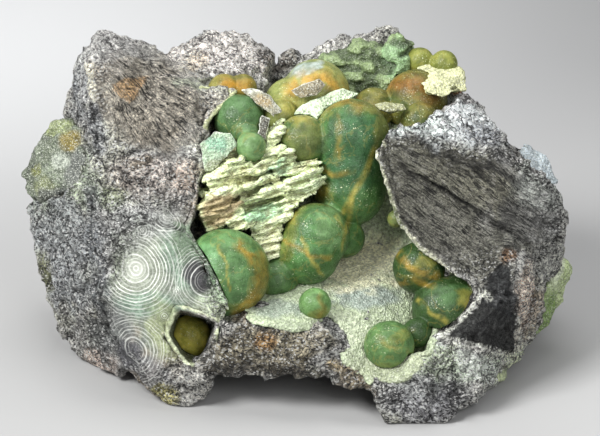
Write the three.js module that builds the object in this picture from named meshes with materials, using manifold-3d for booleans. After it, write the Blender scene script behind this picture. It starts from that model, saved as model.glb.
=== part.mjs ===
// Wavellite specimen: balls, a druse lining and stacked blades in the open vug of a grey breccia.
// Millimetres, +Z up, +X right, +Y away from the viewer. The origin is on the table, under the middle.

import * as THREE from 'three';
import { ConvexGeometry } from 'three/addons/geometries/ConvexGeometry.js';
import { SimplexNoise } from 'three/addons/math/SimplexNoise.js';
import { mergeVertices } from 'three/addons/utils/BufferGeometryUtils.js';
import Module from 'manifold-3d';

const wasm = await Module();
wasm.setup();

// Driving dimensions
const SPECIMEN_WIDTH = 120;
const CRUST = 1.2; // thickness of the druse that lines the vug
const GAP = 0.9; // clearance between the rock and its lining
const GROWTH_GAP = 0.8; // clearance between the lining and what grew on it
const BASE_CUT = 0; // height at which the feet are flat

// The front view: a sheet of 600 by 436 units, seen by an eye in front of the specimen and above it.
// A landmark is [across, down, depth]: two sheet units, then its depth along +Y in millimetres.
const SHEET_CENTRE = [300, 218];
const WIDTH_ON_SHEET = 548;
const MM_PER_UNIT = SPECIMEN_WIDTH / WIDTH_ON_SHEET;
const EYE_ELEVATION = THREE.MathUtils.degToRad(24);
const EYE_DISTANCE = 1000;
const EYE_TARGET = new THREE.Vector3(0, 0, 31.5);
const FRAME_SHIFT = new THREE.Vector3(0.69, -1.13, 0); // brings the bounding box's middle over the origin

const EYE_FORWARD = new THREE.Vector3(0, Math.cos(EYE_ELEVATION), -Math.sin(EYE_ELEVATION));
const SHEET_RIGHT = new THREE.Vector3(1, 0, 0);
const SHEET_UP = new THREE.Vector3(0, Math.sin(EYE_ELEVATION), Math.cos(EYE_ELEVATION));
const EYE = EYE_TARGET.clone().addScaledVector(EYE_FORWARD, -EYE_DISTANCE);

// The point at the given depth on the sight line through a point of the sheet.
function seen([across, down, depth]) {
  const line = EYE_FORWARD.clone().multiplyScalar(EYE_DISTANCE)
    .addScaledVector(SHEET_RIGHT, (across - SHEET_CENTRE[0]) * MM_PER_UNIT)
    .addScaledVector(SHEET_UP, (SHEET_CENTRE[1] - down) * MM_PER_UNIT);
  return EYE.clone().addScaledVector(line, (depth - EYE.y) / line.y);
}

const at = ([x, y, z]) => new THREE.Vector3(x, y, z);

// Seeded noise, so that every build is the same.
function seededRandom(seed) {
  let state = seed;
  return () => {
    state = (state * 1664525 + 1013904223) % 4294967296;
    return state / 4294967296;
  };
}

const fieldNoise = new SimplexNoise({ random: seededRandom(11) });

// A smooth vector field that roughens whatever it moves.
function wander(p, wavelength, amount) {
  const [x, y, z] = [p.x / wavelength, p.y / wavelength, p.z / wavelength];
  return new THREE.Vector3(
    fieldNoise.noise3d(x, y, z),
    fieldNoise.noise3d(x + 31.7, y, z),
    fieldNoise.noise3d(x, y + 47.3, z),
  ).multiplyScalar(amount);
}

// Broken rock: a broad swell and a finer chipping.
const ROCK = [[19, 1.1], [8, 0.7]];
const DRUSE = [[15, 1.3]];
const BLADE = [[5, 0.45]];

// The moved points, each stepped aside as the noise has it where the point was: offsets stay parallel.
function roughened(points, moved, layers) {
  return points.map((p, i) => {
    const steps = layers.map(([wavelength, amount]) => wander(p, wavelength, amount));
    return steps.reduce((sum, step) => sum.add(step), moved[i].clone());
  });
}

// Shared-vertex points and triangles of a geometry.
function shared(geometry) {
  const bare = new THREE.BufferGeometry().setAttribute('position', geometry.getAttribute('position'));
  if (geometry.index) bare.setIndex(geometry.index);
  const merged = mergeVertices(bare, 1e-3);
  const position = merged.getAttribute('position');
  const read = (_, i) => new THREE.Vector3().fromBufferAttribute(position, i);
  const points = Array.from({ length: position.count }, read);
  const faces = [];
  for (let i = 0; i < merged.index.count; i += 3) {
    const face = [0, 1, 2].map((k) => merged.index.getX(i + k));
    if (new Set(face).size === 3) faces.push(face);
  }
  return { points, faces };
}

// Halves every edge longer than longest, again and again, and keeps the surface closed.
function refine({ points, faces }, longest) {
  for (let changed = true; changed;) {
    changed = false;
    const middles = new Map();
    const middleOf = (a, b) => {
      if (points[a].distanceTo(points[b]) <= longest) return -1;
      const key = a < b ? `${a}_${b}` : `${b}_${a}`;
      if (!middles.has(key)) {
        middles.set(key, points.length);
        points.push(points[a].clone().lerp(points[b], 0.5));
      }
      return middles.get(key);
    };
    faces = faces.flatMap(([a, b, c]) => {
      const corners = [a, b, c];
      const cuts = [middleOf(a, b), middleOf(b, c), middleOf(c, a)];
      const count = cuts.filter((m) => m >= 0).length;
      if (count === 0) return [corners];
      changed = true;
      if (count === 3) {
        const [m, n, o] = cuts;
        return [[a, m, o], [m, b, n], [o, n, c], [m, n, o]];
      }
      // Turn the face so that its first edge is cut, and its last is whole where two are cut.
      let turn = cuts.findIndex((m, i) => m >= 0 && cuts[(i + 2) % 3] < 0);
      const [p, q, r] = [0, 1, 2].map((k) => corners[(k + turn) % 3]);
      const [m, n] = [cuts[turn], cuts[(turn + 1) % 3]];
      if (count === 1) return [[p, m, r], [m, q, r]];
      return [[p, m, n], [m, q, n], [p, n, r]];
    });
  }
  return { points, faces };
}

function toSolid({ points, faces }) {
  return new wasm.Manifold(new wasm.Mesh({
    numProp: 3,
    vertProperties: new Float32Array(points.flatMap((p) => [p.x, p.y, p.z])),
    triVerts: new Uint32Array(faces.flat()),
  }));
}

// Moves every point outwards by amount, square to the surface.
function offset({ points, faces }, amount) {
  const normals = points.map(() => new THREE.Vector3());
  for (const [a, b, c] of faces) {
    const normal = points[b].clone().sub(points[a]).cross(points[c].clone().sub(points[a]));
    for (const v of [a, b, c]) normals[v].add(normal);
  }
  return points.map((p, v) => p.clone().addScaledVector(normals[v].normalize(), amount));
}

// A rough convex lump around its corners, its surface moved outwards by extra.
function lump(corners, { edge = 15, layers = ROCK, extra = 0 } = {}) {
  const mesh = refine(shared(new ConvexGeometry(corners)), edge);
  return toSolid({ points: roughened(mesh.points, offset(mesh, extra), layers), faces: mesh.faces });
}

// A rough ellipsoid, its radii grown by extra.
function ellipsoid(centre, radii, { detail = 4, extra = 0, layers = [] } = {}) {
  const { points, faces } = shared(new THREE.IcosahedronGeometry(1, detail));
  const plain = points.map((p) => p.clone().multiply(at(radii)).add(centre));
  const grown = points.map((p) => p.clone().multiply(at(radii).addScalar(extra)).add(centre));
  return toSolid({ points: roughened(plain, grown, layers), faces });
}

const join = (solids) => solids.reduce((sum, s) => sum.add(s));

// The summed squared distance from a point to a list of planes, kept as one symmetric form.
function planeForm(a, b, c) {
  const normal = b.clone().sub(a).cross(c.clone().sub(a)).normalize();
  const [x, y, z, w] = [normal.x, normal.y, normal.z, -normal.dot(a)];
  return [x * x, x * y, x * z, x * w, y * y, y * z, y * w, z * z, z * w, w * w];
}

function formAt(q, { x, y, z }) {
  return q[0] * x * x + 2 * q[1] * x * y + 2 * q[2] * x * z + 2 * q[3] * x
    + q[4] * y * y + 2 * q[5] * y * z + 2 * q[6] * y + q[7] * z * z + 2 * q[8] * z + q[9];
}

// Closes up edges whose loss moves the surface by less than tolerance. The surface stays closed.
function thin({ points, faces }, tolerance) {
  const forms = points.map(() => new Array(10).fill(0));
  const around = points.map(() => new Set());
  faces.forEach((face, f) => {
    const form = planeForm(...face.map((v) => points[v]));
    for (const v of face) {
      around[v].add(f);
      if (form.every(Number.isFinite)) form.forEach((value, i) => { forms[v][i] += value; });
    }
  });
  const normalOf = ([a, b, c]) => points[b].clone().sub(points[a]).cross(points[c].clone().sub(points[a]));
  const ring = (v) => new Set([...around[v]].flatMap((f) => faces[f]).filter((n) => n !== v));

  // The place and cost of closing the edge a to b.
  const plan = (a, b) => {
    const form = forms[a].map((value, i) => value + forms[b][i]);
    const spots = [points[a], points[b], points[a].clone().lerp(points[b], 0.5)];
    const costs = spots.map((p) => Math.abs(formAt(form, p)));
    const best = costs.indexOf(Math.min(...costs));
    const cost = costs[best] + 1e-7 * points[a].distanceToSquared(points[b]);
    return { a, b, form, spot: spots[best].clone(), cost };
  };

  const holds = ({ a, b, spot }) => {
    const shared = [...ring(a)].filter((n) => ring(b).has(n));
    if (shared.length !== 2) return false;
    for (const v of [a, b]) {
      for (const f of around[v]) {
        if (faces[f].includes(a) && faces[f].includes(b)) continue;
        const before = normalOf(faces[f]);
        const kept = points[v];
        points[v] = spot;
        const after = normalOf(faces[f]);
        points[v] = kept;
        const size = before.length() * after.length();
        const turned = before.length() > 0.02 && before.dot(after) < 0.6 * size;
        if (turned || after.length() < 0.02) return false;
      }
    }
    return true;
  };

  for (let round = 0; round < 30; round++) {
    const edges = [];
    faces.forEach((face) => {
      if (!face) return;
      for (let k = 0; k < 3; k++) {
        const [a, b] = [face[k], face[(k + 1) % 3]];
        if (a < b) edges.push(plan(a, b));
      }
    });
    const due = edges.filter((e) => e.cost < tolerance * tolerance).sort((e, f) => e.cost - f.cost);
    const busy = new Set();
    let closed = 0;
    for (const edge of due) {
      const { a, b, form, spot } = edge;
      if (busy.has(a) || busy.has(b) || !holds(edge)) continue;
      for (const n of [...ring(a), ...ring(b)]) busy.add(n);
      for (const f of [...around[b]]) {
        if (faces[f].includes(a)) {
          for (const v of faces[f]) around[v].delete(f);
          faces[f] = null;
        } else {
          faces[f] = faces[f].map((v) => (v === b ? a : v));
          around[a].add(f);
        }
      }
      around[b].clear();
      points[a] = spot;
      forms[a] = form;
      closed++;
    }
    if (!closed) break;
  }
  const used = new Map();
  const kept = [];
  const renumbered = faces.filter(Boolean).map((face) => face.map((v) => {
    if (!used.has(v)) {
      used.set(v, kept.length);
      kept.push(points[v]);
    }
    return used.get(v);
  }));
  return { points: kept, faces: renumbered };
}

function fromSolid(solid) {
  const { vertProperties, triVerts, numProp, numVert } = solid.getMesh();
  const corner = (i) => new THREE.Vector3().fromArray(vertProperties, i * numProp);
  const points = Array.from({ length: numVert }, (_, i) => corner(i));
  const corners = (_, f) => Array.from(triVerts.subarray(f * 3, f * 3 + 3));
  const faces = Array.from({ length: triVerts.length / 3 }, corners);
  return { points, faces };
}

function bodies(solid) {
  return solid.decompose().sort((a, b) => b.volume() - a.volume());
}

// The rock's angular fragments, as front-view landmarks and as hidden corners in millimetres.
const FRAGMENTS = {
  tower: {
    front: [
      [97, 27, 20], [117, 44, 20], [158, 53, 24], [93, 68, 4], [131, 57, 10], [175, 79, 9],
      [212, 92, 6], [198, 144, -4], [203, 186, -9], [198, 222, -15],
      [100, 205, -14], [90, 147, -8], [77, 68, 18], [71, 99, 20],
    ],
    hidden: [[-46, 34, 50], [-22, 36, 48], [-48, 32, 22], [-24, 20, 22]],
  },
  towerTip: {
    front: [
      [176, 80, 10], [229, 94, 5], [238, 91, 7], [217, 111, 2], [202, 129, -1], [182, 146, 0],
      [226, 95, 13], [196, 98, 15], [186, 122, 8],
    ],
    hidden: [],
  },
  towerSpur: {
    front: [[67, 99, 18], [70, 118, 17], [78, 92, 16], [84, 124, 12], [84, 90, 14]],
    hidden: [[-44, 26, 40], [-42, 26, 52]],
  },
  leftFlank: {
    front: [
      [60, 130, 12], [90, 130, 4], [32, 182, 10], [34, 214, 6], [36, 262, 2], [50, 292, 0],
      [57, 322, -4], [80, 354, -6], [107, 371, -12], [100, 200, -15], [104, 290, -22],
      [128, 362, -20],
    ],
    hidden: [
      [-54, 24, 18], [-50, 27, 40], [-46, 28, 4], [-42, 30, 46], [-30, 15, 10], [-42, -9, -1.6],
      [-44, 3, -1.6], [-37, 8, -1.6], [-34, -4, -1.6],
    ],
  },
  bandedWall: {
    front: [
      [100, 205, -16], [150, 214, -19], [192, 226, -18], [187, 246, -23], [200, 262, -26],
      [210, 284, -28.5], [222, 292, -30], [232, 310, -29.5], [226, 322, -28.5], [208, 330, -27],
      [209, 385, -29], [197, 399, -30], [176, 405, -30], [152, 387, -28], [128, 362, -22],
      [104, 290, -22],
    ],
    hidden: [
      [-28, -4, 36], [-32, -2, 6], [-24, -14, 4], [-40, -6, 12], [-27, -28, -1.6],
      [-24, -20, -1.6], [-33, -14, -1.6],
    ],
  },
  leftJoint: {
    front: [
      [204, 180, -9], [201, 204, -13], [193, 224, -17], [186, 245, -22], [110, 196, -14],
      [110, 240, -18],
    ],
    hidden: [[-28, 0, 34], [-40, 6, 30], [-30, -4, 22]],
  },
  frontRim: {
    front: [
      [199, 352, -27], [229, 341, -30], [259, 327, -31], [298, 324, -30], [318, 342, -30],
      [330, 358, -31], [223, 369, -31], [259, 372, -32], [295, 366, -31], [325, 382, -34],
      [200, 372, -28],
    ],
    hidden: [[-22, -18, 9], [0, -14, 10], [14, -16, 8], [-20, -18, 14], [8, -16, 13]],
  },
  frontRimRight: {
    front: [
      [316, 348, -31], [338, 368, -33], [380, 382, -35], [397, 374, -35], [417, 373, -36],
      [337, 378, -33], [361, 396, -36], [388, 421, -38], [434, 424, -39], [455, 417, -38],
      [483, 385, -32], [443, 342, -30],
    ],
    hidden: [
      [8, -14, 6], [36, -10, 4], [38, -14, 18], [12, -12, 8], [20, -36.5, -1.6],
      [29, -37.5, -1.6], [22, -27, -1.6], [31, -25, -1.6],
    ],
  },
  rightFoot: {
    front: [
      [447, 342, -30], [480, 315, -27], [496, 299, -24], [499, 285, -20], [516, 262, -14],
      [546, 241, -6], [565, 252, 0], [556, 286, 1], [531, 330, -6], [506, 362, -14],
      [502, 378, -17], [483, 385, -24], [464, 405, -34], [434, 424, -39], [418, 380, -36],
    ],
    hidden: [
      [54, 20, 8], [55, 22, 34], [36, 28, 4], [28, 6, 4], [30, -10, 10], [38, 10, 30],
      [37, -19, -1.6], [43, -6, -1.6], [41, 8, -1.6], [32, 2, -1.6],
    ],
  },
  slabLower: {
    front: [
      [377, 152, -8], [384, 137, -6], [417, 169, -8], [488, 221, -12], [524, 243, -11],
      [510, 251, -13], [503, 272, -17], [486, 296, -20], [449, 273, -19], [417, 247, -16],
      [398, 225, -14], [386, 190, -12],
    ],
    hidden: [[30, 8, 46], [50, 2, 24], [32, 2, 38], [46, 10, 30]],
  },
  slabUpper: {
    front: [
      [381, 142, -8], [390, 118, -4], [421, 107, 5], [449, 104, 12], [467, 93, 16], [479, 98, 15],
      [494, 124, 9], [502, 143, 3], [520, 165, 0], [522, 243, -13], [486, 221, -14],
      [430, 178, -12], [430, 136, -1], [488, 148, 0],
    ],
    hidden: [[38, 18, 46], [30, 8, 48], [46, 2, 28], [42, 18, 36]],
  },
  slabEnd: {
    front: [
      [500, 150, 3], [522, 161, 3], [545, 169, 2], [558, 199, -2], [565, 230, -6],
      [540, 241, -11], [522, 243, -13], [500, 226, -12],
    ],
    hidden: [[54, 12, 34], [50, 2, 26], [40, 10, 38], [44, 14, 26]],
  },
  slabKnob: {
    front: [[447, 92, 14], [455, 86, 16], [468, 92, 15], [481, 99, 14], [476, 108, 12], [453, 102, 11]],
    hidden: [[34, 22, 46], [39, 20, 44]],
  },
  rightShoulder: {
    front: [
      [500, 144, 8], [516, 156, 9], [540, 164, 10], [556, 187, 8], [565, 232, -2], [566, 256, 0],
      [488, 130, 12],
    ],
    hidden: [[52, 24, 28], [40, 26, 40], [38, 30, 20], [54, 20, 12]],
  },
  backRidge: {
    front: [
      [278, 58, 31], [293, 53, 34], [312, 48, 36], [345, 37, 37], [375, 34, 37], [395, 31, 34],
      [404, 46, 34], [405, 62, 33], [300, 62, 31],
    ],
    hidden: [[-6, 38, 42], [22, 39, 42], [-6, 26, 36], [22, 26, 36]],
  },
  backMound: {
    front: [
      [160, 58, 24], [176, 47, 26], [190, 38, 28], [206, 34, 30], [236, 31, 32], [258, 43, 33],
      [272, 57, 33], [166, 74, 15], [200, 76, 13], [230, 75, 13], [260, 75, 16],
    ],
    hidden: [[-30, 35, 44], [-6, 37, 42], [-26, 22, 34], [-8, 24, 34]],
  },
  backShoulder: {
    front: [[404, 64, 31], [434, 66, 30], [456, 70, 27], [466, 92, 22]],
    hidden: [[22, 37, 42], [38, 31, 36], [20, 28, 34], [36, 22, 34]],
  },
  rear: {
    front: [],
    hidden: [
      [-44, 6, 6], [-42, 32, 3], [-8, 39, 1], [26, 37, 2], [50, 20, 6], [48, 2, 4], [-36, 35, 46],
      [-6, 39, 50], [22, 40, 50], [39, 33, 42], [-36, 4, 42], [36, 2, 26], [-8, -4, 4],
      [24, -8, 4], [-10, 10, 52], [20, 10, 50], [-34, 26, -1.6], [-5, 32, -1.6], [22, 30, -1.6],
      [40, 15, -1.6], [28, 0, -1.6], [-30, 8, -1.6],
    ],
  },
  floor: {
    front: [],
    hidden: [
      [-20, -30, 16.5], [-10, -31, 20], [1, -31, 20.5], [5, -31, 18.5], [9, -32, 12],
      [17, -33, 9], [-20, 6, 22.5], [26, 6, 22.5], [30, -8, 17], [24, -20, 11.5], [-20, -24, 8],
      [10, -28, 7], [30, -10, 3], [-24, 6, 3],
    ],
  },
};

const cornersOf = ({ front, hidden }) => [...front.map(seen), ...hidden.map(at)];

// The vug: rounded hollows that run into each other. Each is a centre and its radii.
const HOLLOWS = [
  { centre: [8, -10, 35], radii: [29, 19, 22] }, // main bowl
  { centre: [22, -21, 20], radii: [15, 13, 12] }, // low front corner
  { centre: [17.5, -37, 18.6], radii: [12, 10, 8.6] }, // notch in the front edge
  { centre: [-12, -12, 33], radii: [16, 13, 17] }, // behind the left ball
  { centre: [12, 13, 60], radii: [23, 16, 15] }, // open top
  { centre: [-11, 3, 58], radii: [12, 10, 9] }, // between the tower and the mound
  { centre: [30, -9, 30], radii: [13, 11, 12] }, // under the slab
  { centre: [34, -20, 23.5], radii: [11, 11, 9] }, // right-hand corner
  { centre: [0, -27, 30], radii: [20, 14, 10.3] }, // mouth above the front rim
];

// A second, angular mouth at the lower left, narrower where it meets the main bowl.
const WINDOW = {
  front: [
    [177, 307, -36], [219, 321, -36], [212, 347, -36], [190, 370, -36], [166, 333, -36],
    [180, 314, -10], [212, 322, -10], [202, 352, -10], [176, 337, -10],
  ],
  hidden: [],
};

// The fragments whose faces bound the vug. The vug stops where they begin.
const VUG_WALLS = [
  ['tower'], ['towerTip'], ['leftJoint'], ['bandedWall'], ['slabLower', 'slabUpper'], ['floor'],
  ['rightFoot'],
];
const IN_FRONT = 8; // how far a wall's outline is carried towards the viewer, so that its face stays whole

function vugWall(names, extra) {
  const corners = names.flatMap((name) => cornersOf(FRAGMENTS[name]));
  const face = names.flatMap((name) => FRAGMENTS[name].front.map(seen));
  const carried = face.map((p) => p.clone().addScaledVector(EYE_FORWARD, -IN_FRONT));
  return lump([...corners, ...carried], { extra: -extra });
}

function vug(extra) {
  const shape = { detail: 2, extra, layers: DRUSE };
  const hollows = HOLLOWS.map(({ centre, radii }) => ellipsoid(at(centre), radii, shape));
  const walls = VUG_WALLS.map((names) => vugWall(names, extra));
  return join(hollows).subtract(join(walls)).add(lump(cornersOf(WINDOW), { layers: [], extra }));
}

// Translucent crusts on the outside of the rock.
const CLEARANCE = 1.2; // between such a crust and the rock
const OUTER_CRUSTS = {
  crust_left_shoulder: {
    front: [
      [52, 122, 14], [66, 122, 12], [86, 134, 6], [94, 156, 0], [84, 184, -4], [58, 196, 0],
      [36, 200, 6], [23, 174, 10], [42, 142, 13], [66, 150, 4],
    ],
    hidden: [[-56, 22, 38], [-46, 24, 46], [-46, 16, 36]],
  },
  crust_left_foot: {
    front: [
      [84, 352, -4], [104, 356, -8], [124, 350, -10], [128, 362, -11], [104, 373, -10],
      [85, 360, -5],
    ],
    hidden: [[-44, 6, 3], [-38, 4, 8]],
  },
  crust_right_upper: {
    front: [[518, 154, 10], [542, 155, 13], [547, 163, 12], [558, 184, 8], [548, 186, 6], [530, 168, 7]],
    hidden: [[53, 17, 38], [50, 18, 42]],
  },
  crust_right_edge: {
    front: [
      [560, 258, 1], [571, 266, 3], [564, 290, 3], [555, 303, 2], [551, 318, 1], [536, 338, -3],
      [524, 340, -5], [540, 306, -5], [546, 290, -4],
    ],
    hidden: [[54, 8, 18], [50, 8, 10], [46, 2, 8]],
  },
  crust_right_foot: {
    front: [[482, 378, -22], [496, 356, -18], [507, 364, -14], [508, 380, -17], [490, 384, -24]],
    hidden: [[42, -8, 3]],
  },
};

const crustPatch = (form, extra) => lump(cornersOf(form), { edge: 9, layers: BLADE, extra });

// The hollow under the front rim, open to the table.
const ARCH = { centre: [1, -34, 0], radii: [19, 24, 9.5] };

const table = toSolid(shared(new THREE.BoxGeometry(400, 400, 100).translate(0, 0, BASE_CUT - 50)));

// The rock before the vug is taken from it, with its outside moved outwards by extra.
function block(extra) {
  const rock = join(Object.values(FRAGMENTS).map((fragment) => lump(cornersOf(fragment), { extra })));
  const arch = ellipsoid(at(ARCH.centre), ARCH.radii, { detail: 2, extra: -extra, layers: ROCK });
  const outer = Object.values(OUTER_CRUSTS).map((form) => crustPatch(form, CLEARANCE - extra));
  return rock.subtract(join([arch, ...outer]));
}

// Balls as [across, down, depth, radius], the radius in sheet units.
const BALLS = {
  ball_column: [
    [352, 137, 4, 38], [351, 164, 2.5, 36.5], [350, 190, 1, 36], [302, 140, 2, 25],
    [316, 236, -9, 33], [308, 254, -11, 31], [276, 280, -14, 22], [345, 238, -4, 20],
  ],
  ball_left: [[226, 273, -19, 43.5]],
  ball_in_window: [[190, 336, -16, 21]],
  ball_on_floor: [[315, 304, -25, 16]],
  ball_front_right: [[389, 346, -29, 25]],
  ball_cluster_right: [
    [419, 268, -13, 26], [443, 309, -18, 31], [458, 301, -15, 27], [417, 333, -24, 15],
  ],
  ball_pair_left: [[239, 119, 5, 25], [251, 147, -4, 15], [246, 135, 0, 13]],
  balls_back_left: [[316, 93, 18, 34], [291, 104, 15, 27], [280, 116, 8, 18]],
  balls_back_right: [[416, 101, 20, 32], [374, 108, 18, 21], [420, 122, 10, 20]],
  balls_top_right: [[420, 61, 27, 14], [444, 64, 25, 14]],
  balls_under_mound: [[224, 90, 11, 16], [243, 88, 12, 14]],
  ball_under_slab: [[396, 219, -6, 9]],
};

function ball([across, down, depth, radius], extra) {
  const size = radius * MM_PER_UNIT;
  const detail = radius > 40 ? 3 : radius > 24 ? 2 : 1;
  return ellipsoid(seen([across, down, depth]), [size, size, size], { detail, extra });
}

const balls = (list, extra) => join(list.map((b) => ball(b, extra)));

// Blades seen on edge, as [[from], [to], thickness in sheet units]. Each runs back from its front edge.
const BLADE_REACH = 13;
const BLADES = [
  [[243, 218, -10], [279, 207, -9], 12],
  [[276, 208, -9], [325, 180, -5], 12],
  [[288, 188, -7], [322, 171, -4], 10],
  [[272, 172, -6], [320, 164, -4], 8],
  [[240, 199, -9], [290, 190, -8], 8],
  [[228, 186, -9], [282, 180, -7], 9],
  [[232, 173, -8], [286, 163, -5], 9],
  [[226, 163, -7], [262, 157, -5], 7],
  [[262, 155, -4], [298, 150, -2], 9],
  [[264, 148, -3], [288, 129, 0], 10],
  [[276, 162, -5], [304, 150, -2], 9],
  [[200, 212, -13], [240, 188, -11], 16],
  [[204, 226, -13], [243, 208, -12], 12],
  [[250, 233, -12], [282, 221, -10.5], 16],
  [[256, 248, -13], [281, 237, -11.5], 15],
  [[262, 265, -14], [281, 251, -12.5], 18],
  [[208, 190, -11], [236, 170, -8], 16],
  [[258, 230, -12], [292, 206, -9], 14],
  [[228, 230, -15], [260, 216, -12], 12],
];

function blade([from, to, thickness]) {
  const half = thickness * MM_PER_UNIT / 2;
  const [a, b] = [seen(from), seen(to)];
  const along = b.clone().sub(a).normalize();
  const back = new THREE.Vector3(-0.1, 1, -0.1);
  const up = new THREE.Vector3().crossVectors(along, back).normalize();
  const corners = [];
  for (const side of [-1, 1]) {
    for (const end of [a, b]) {
      const edge = end.clone().addScaledVector(up, side * half);
      corners.push(edge, edge.clone().addScaledVector(back, BLADE_REACH));
    }
    corners.push(a.clone().lerp(b, 0.5).addScaledVector(up, side * half).addScaledVector(back, -0.9));
  }
  return lump(corners, { edge: 20, layers: BLADE });
}

// Broken flakes that stand clear of the druse. Each is an outline on the sheet and a thickness.
const FLAKES = {
  flake_pale_top: {
    outline: [
      [288, 120, 3], [300, 106, 6], [319, 97, 9], [342, 88, 12], [358, 93, 12], [338, 105, 8],
      [315, 121, 3], [299, 128, 1],
    ],
    thickness: 2.2,
  },
  flake_yellow_back: {
    outline: [
      [412, 71, 21], [421, 64, 24], [458, 65, 24], [468, 78, 20], [465, 90, 15], [450, 92, 13],
      [443, 98, 11], [426, 92, 12],
    ],
    thickness: 3,
  },
  flake_grey_rim: {
    outline: [[291, 92, 8], [303, 84, 9.5], [318, 79, 10.5], [327, 86, 10], [318, 94, 8], [300, 98, 7]],
    thickness: 1.8,
  },
  flake_grey_left: {
    outline: [[240, 90, 7], [252, 86, 8], [270, 96, 6], [283, 112, 3], [274, 116, 1], [256, 104, 3]],
    thickness: 2,
  },
  flake_dark_left: {
    outline: [[262, 114, 1], [272, 117, 1], [269, 128, -1], [264, 140, -3], [258, 136, -3]],
    thickness: 1.8,
  },
  flake_mint_left: {
    outline: [
      [199, 144, -5], [215, 131, -4], [232, 134, -4], [238, 144, -5], [228, 158, -7],
      [212, 170, -8], [204, 172, -8],
    ],
    thickness: 2.6,
  },
  flake_cream_ledge: {
    outline: [[374, 104, 8], [384, 102, 9], [407, 104, 9], [406, 111, 7], [388, 113, 6], [378, 110, 6]],
    thickness: 2,
  },
};

function flake({ outline, thickness }, extra) {
  const front = outline.map(seen);
  const middle = front.reduce((sum, p) => sum.add(p), new THREE.Vector3()).divideScalar(front.length);
  const behind = EYE_FORWARD.clone().multiplyScalar(thickness);
  const corners = [...front, ...front.map((p) => p.clone().lerp(middle, 0.12).add(behind))];
  corners.push(middle.clone().addScaledVector(behind, -0.25));
  return lump(corners, { edge: 20, layers: BLADE, extra });
}

// Ledges of green druse on the back wall, as [across, down, depth, radii in millimetres].
const LEDGES = [
  [344, 58, 31, [5.6, 5, 2.4]], [366, 52, 31, [6, 5, 2.6]], [398, 58, 29, [3.8, 5, 5.6]],
  [350, 69, 29, [6, 5, 2.2]], [372, 64, 29, [5.4, 5, 2.4]], [348, 81, 27, [5, 5, 2.2]],
  [366, 77, 27, [6, 5, 2.3]], [388, 78, 27, [4.4, 5, 3.4]], [362, 91, 25, [6, 5, 2.2]],
];

function ledges(extra) {
  return join(LEDGES.map(([across, down, depth, radii]) =>
    ellipsoid(seen([across, down, depth]), radii, { detail: 1, extra, layers: BLADE })));
}

// Assembly: the rock, then its lining, then what grew on it, each cut clear of what is already there.
const FINENESS = { rock: 0.5, druse: 0.3 }; // how far thinning may move a surface
const LEAST_GAP = 0.3;
const placed = [];
const taken = [];

// The mesh's copies a little way off along each axis, joined and thinned.
function swell({ points, faces }) {
  const shifts = [new THREE.Vector3()];
  for (const axis of [0, 1, 2]) {
    for (const d of [-LEAST_GAP, LEAST_GAP]) shifts.push(new THREE.Vector3().setComponent(axis, d));
  }
  const copies = shifts.map((shift) => toSolid({ points: points.map((p) => p.clone().add(shift)), faces }));
  return toSolid(thin(fromSolid(join(copies)), LEAST_GAP / 2));
}

// A piece keeps clear of the earlier ones' swollen forms, and of any neighbour it would still touch.
function place(name, solid, style, swollen) {
  const clearOf = (form, neighbour) => form.subtract(neighbour.swollen);
  const cut = (from, neighbours) => bodies(neighbours.reduce(clearOf, from))[0];
  const touched = (mesh) => taken.filter(({ exact }) => exact.intersect(toSolid(mesh)).volume() >= 0.004);
  let free = cut(solid, taken.filter((n) => n.swollen));
  let fineness = FINENESS[style] ?? 0.2;
  const formed = (solidForm) => fromSolid(toSolid(thin(fromSolid(solidForm), fineness)).subtract(table));
  let mesh = formed(free);
  for (let tries = 0; tries < 4 && touched(mesh).length; tries++) {
    free = cut(free, touched(mesh).map(({ mesh: other }) => ({ swollen: swell(other) })));
    fineness /= 2;
    mesh = formed(free);
  }
  placed.push({ name, mesh, style });
  taken.push({ exact: toSolid(mesh), mesh, swollen });
}

const whole = block(0);
const wall = block(GROWTH_GAP / 2).subtract(vug(-GROWTH_GAP));

place('matrix', whole.subtract(vug(CRUST + GAP)), 'rock');
const LININGS = ['vug_crust', 'crust_left_wall', 'crust_window', 'crust_slab_edge', 'crust_upper_left'];
const patches = bodies(whole.intersect(vug(CRUST)).subtract(vug(0)));
LININGS.forEach((name, i) => place(name, patches[i], 'druse'));
for (const [name, form] of Object.entries(OUTER_CRUSTS)) place(name, crustPatch(form, 0), 'outer');
for (const [name, list] of Object.entries(BALLS)) {
  place(name, balls(list, 0).subtract(wall), 'ball', balls(list, LEAST_GAP));
}
place('back_druse', ledges(0).subtract(wall), 'greenDruse', ledges(LEAST_GAP));
const blades = join(BLADES.map(blade));
place('blade_stack', blades.subtract(wall), 'blade', swell(fromSolid(blades)));
for (const [name, form] of Object.entries(FLAKES)) {
  place(name, flake(form, 0).subtract(wall), 'flake', flake(form, LEAST_GAP));
}

const STYLES = {
  rock: { color: 0x8a867c, roughness: 0.9 },
  druse: { color: 0xc9d6bf, roughness: 0.6 },
  outer: { color: 0xb9c4a8, roughness: 0.5 },
  ball: { color: 0x5f9150, roughness: 0.35 },
  greenDruse: { color: 0x829168, roughness: 0.6 },
  blade: { color: 0xc3cfa4, roughness: 0.8 },
  flake: { color: 0xd6e5c0, roughness: 0.7 },
};

function look({ color, roughness }) {
  return new THREE.MeshStandardMaterial({ color, roughness, metalness: 0 });
}

// A named mesh about its own middle, placed where its solid is.
function piece(name, { points, faces }, style) {
  const geometry = new THREE.BufferGeometry().setFromPoints(points).setIndex(faces.flat());
  geometry.computeBoundingBox();
  const middle = geometry.boundingBox.getCenter(new THREE.Vector3());
  geometry.translate(-middle.x, -middle.y, -middle.z);
  geometry.computeVertexNormals();
  const mesh = new THREE.Mesh(geometry, look(STYLES[style]));
  mesh.name = name;
  mesh.position.copy(middle);
  return mesh;
}

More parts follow.
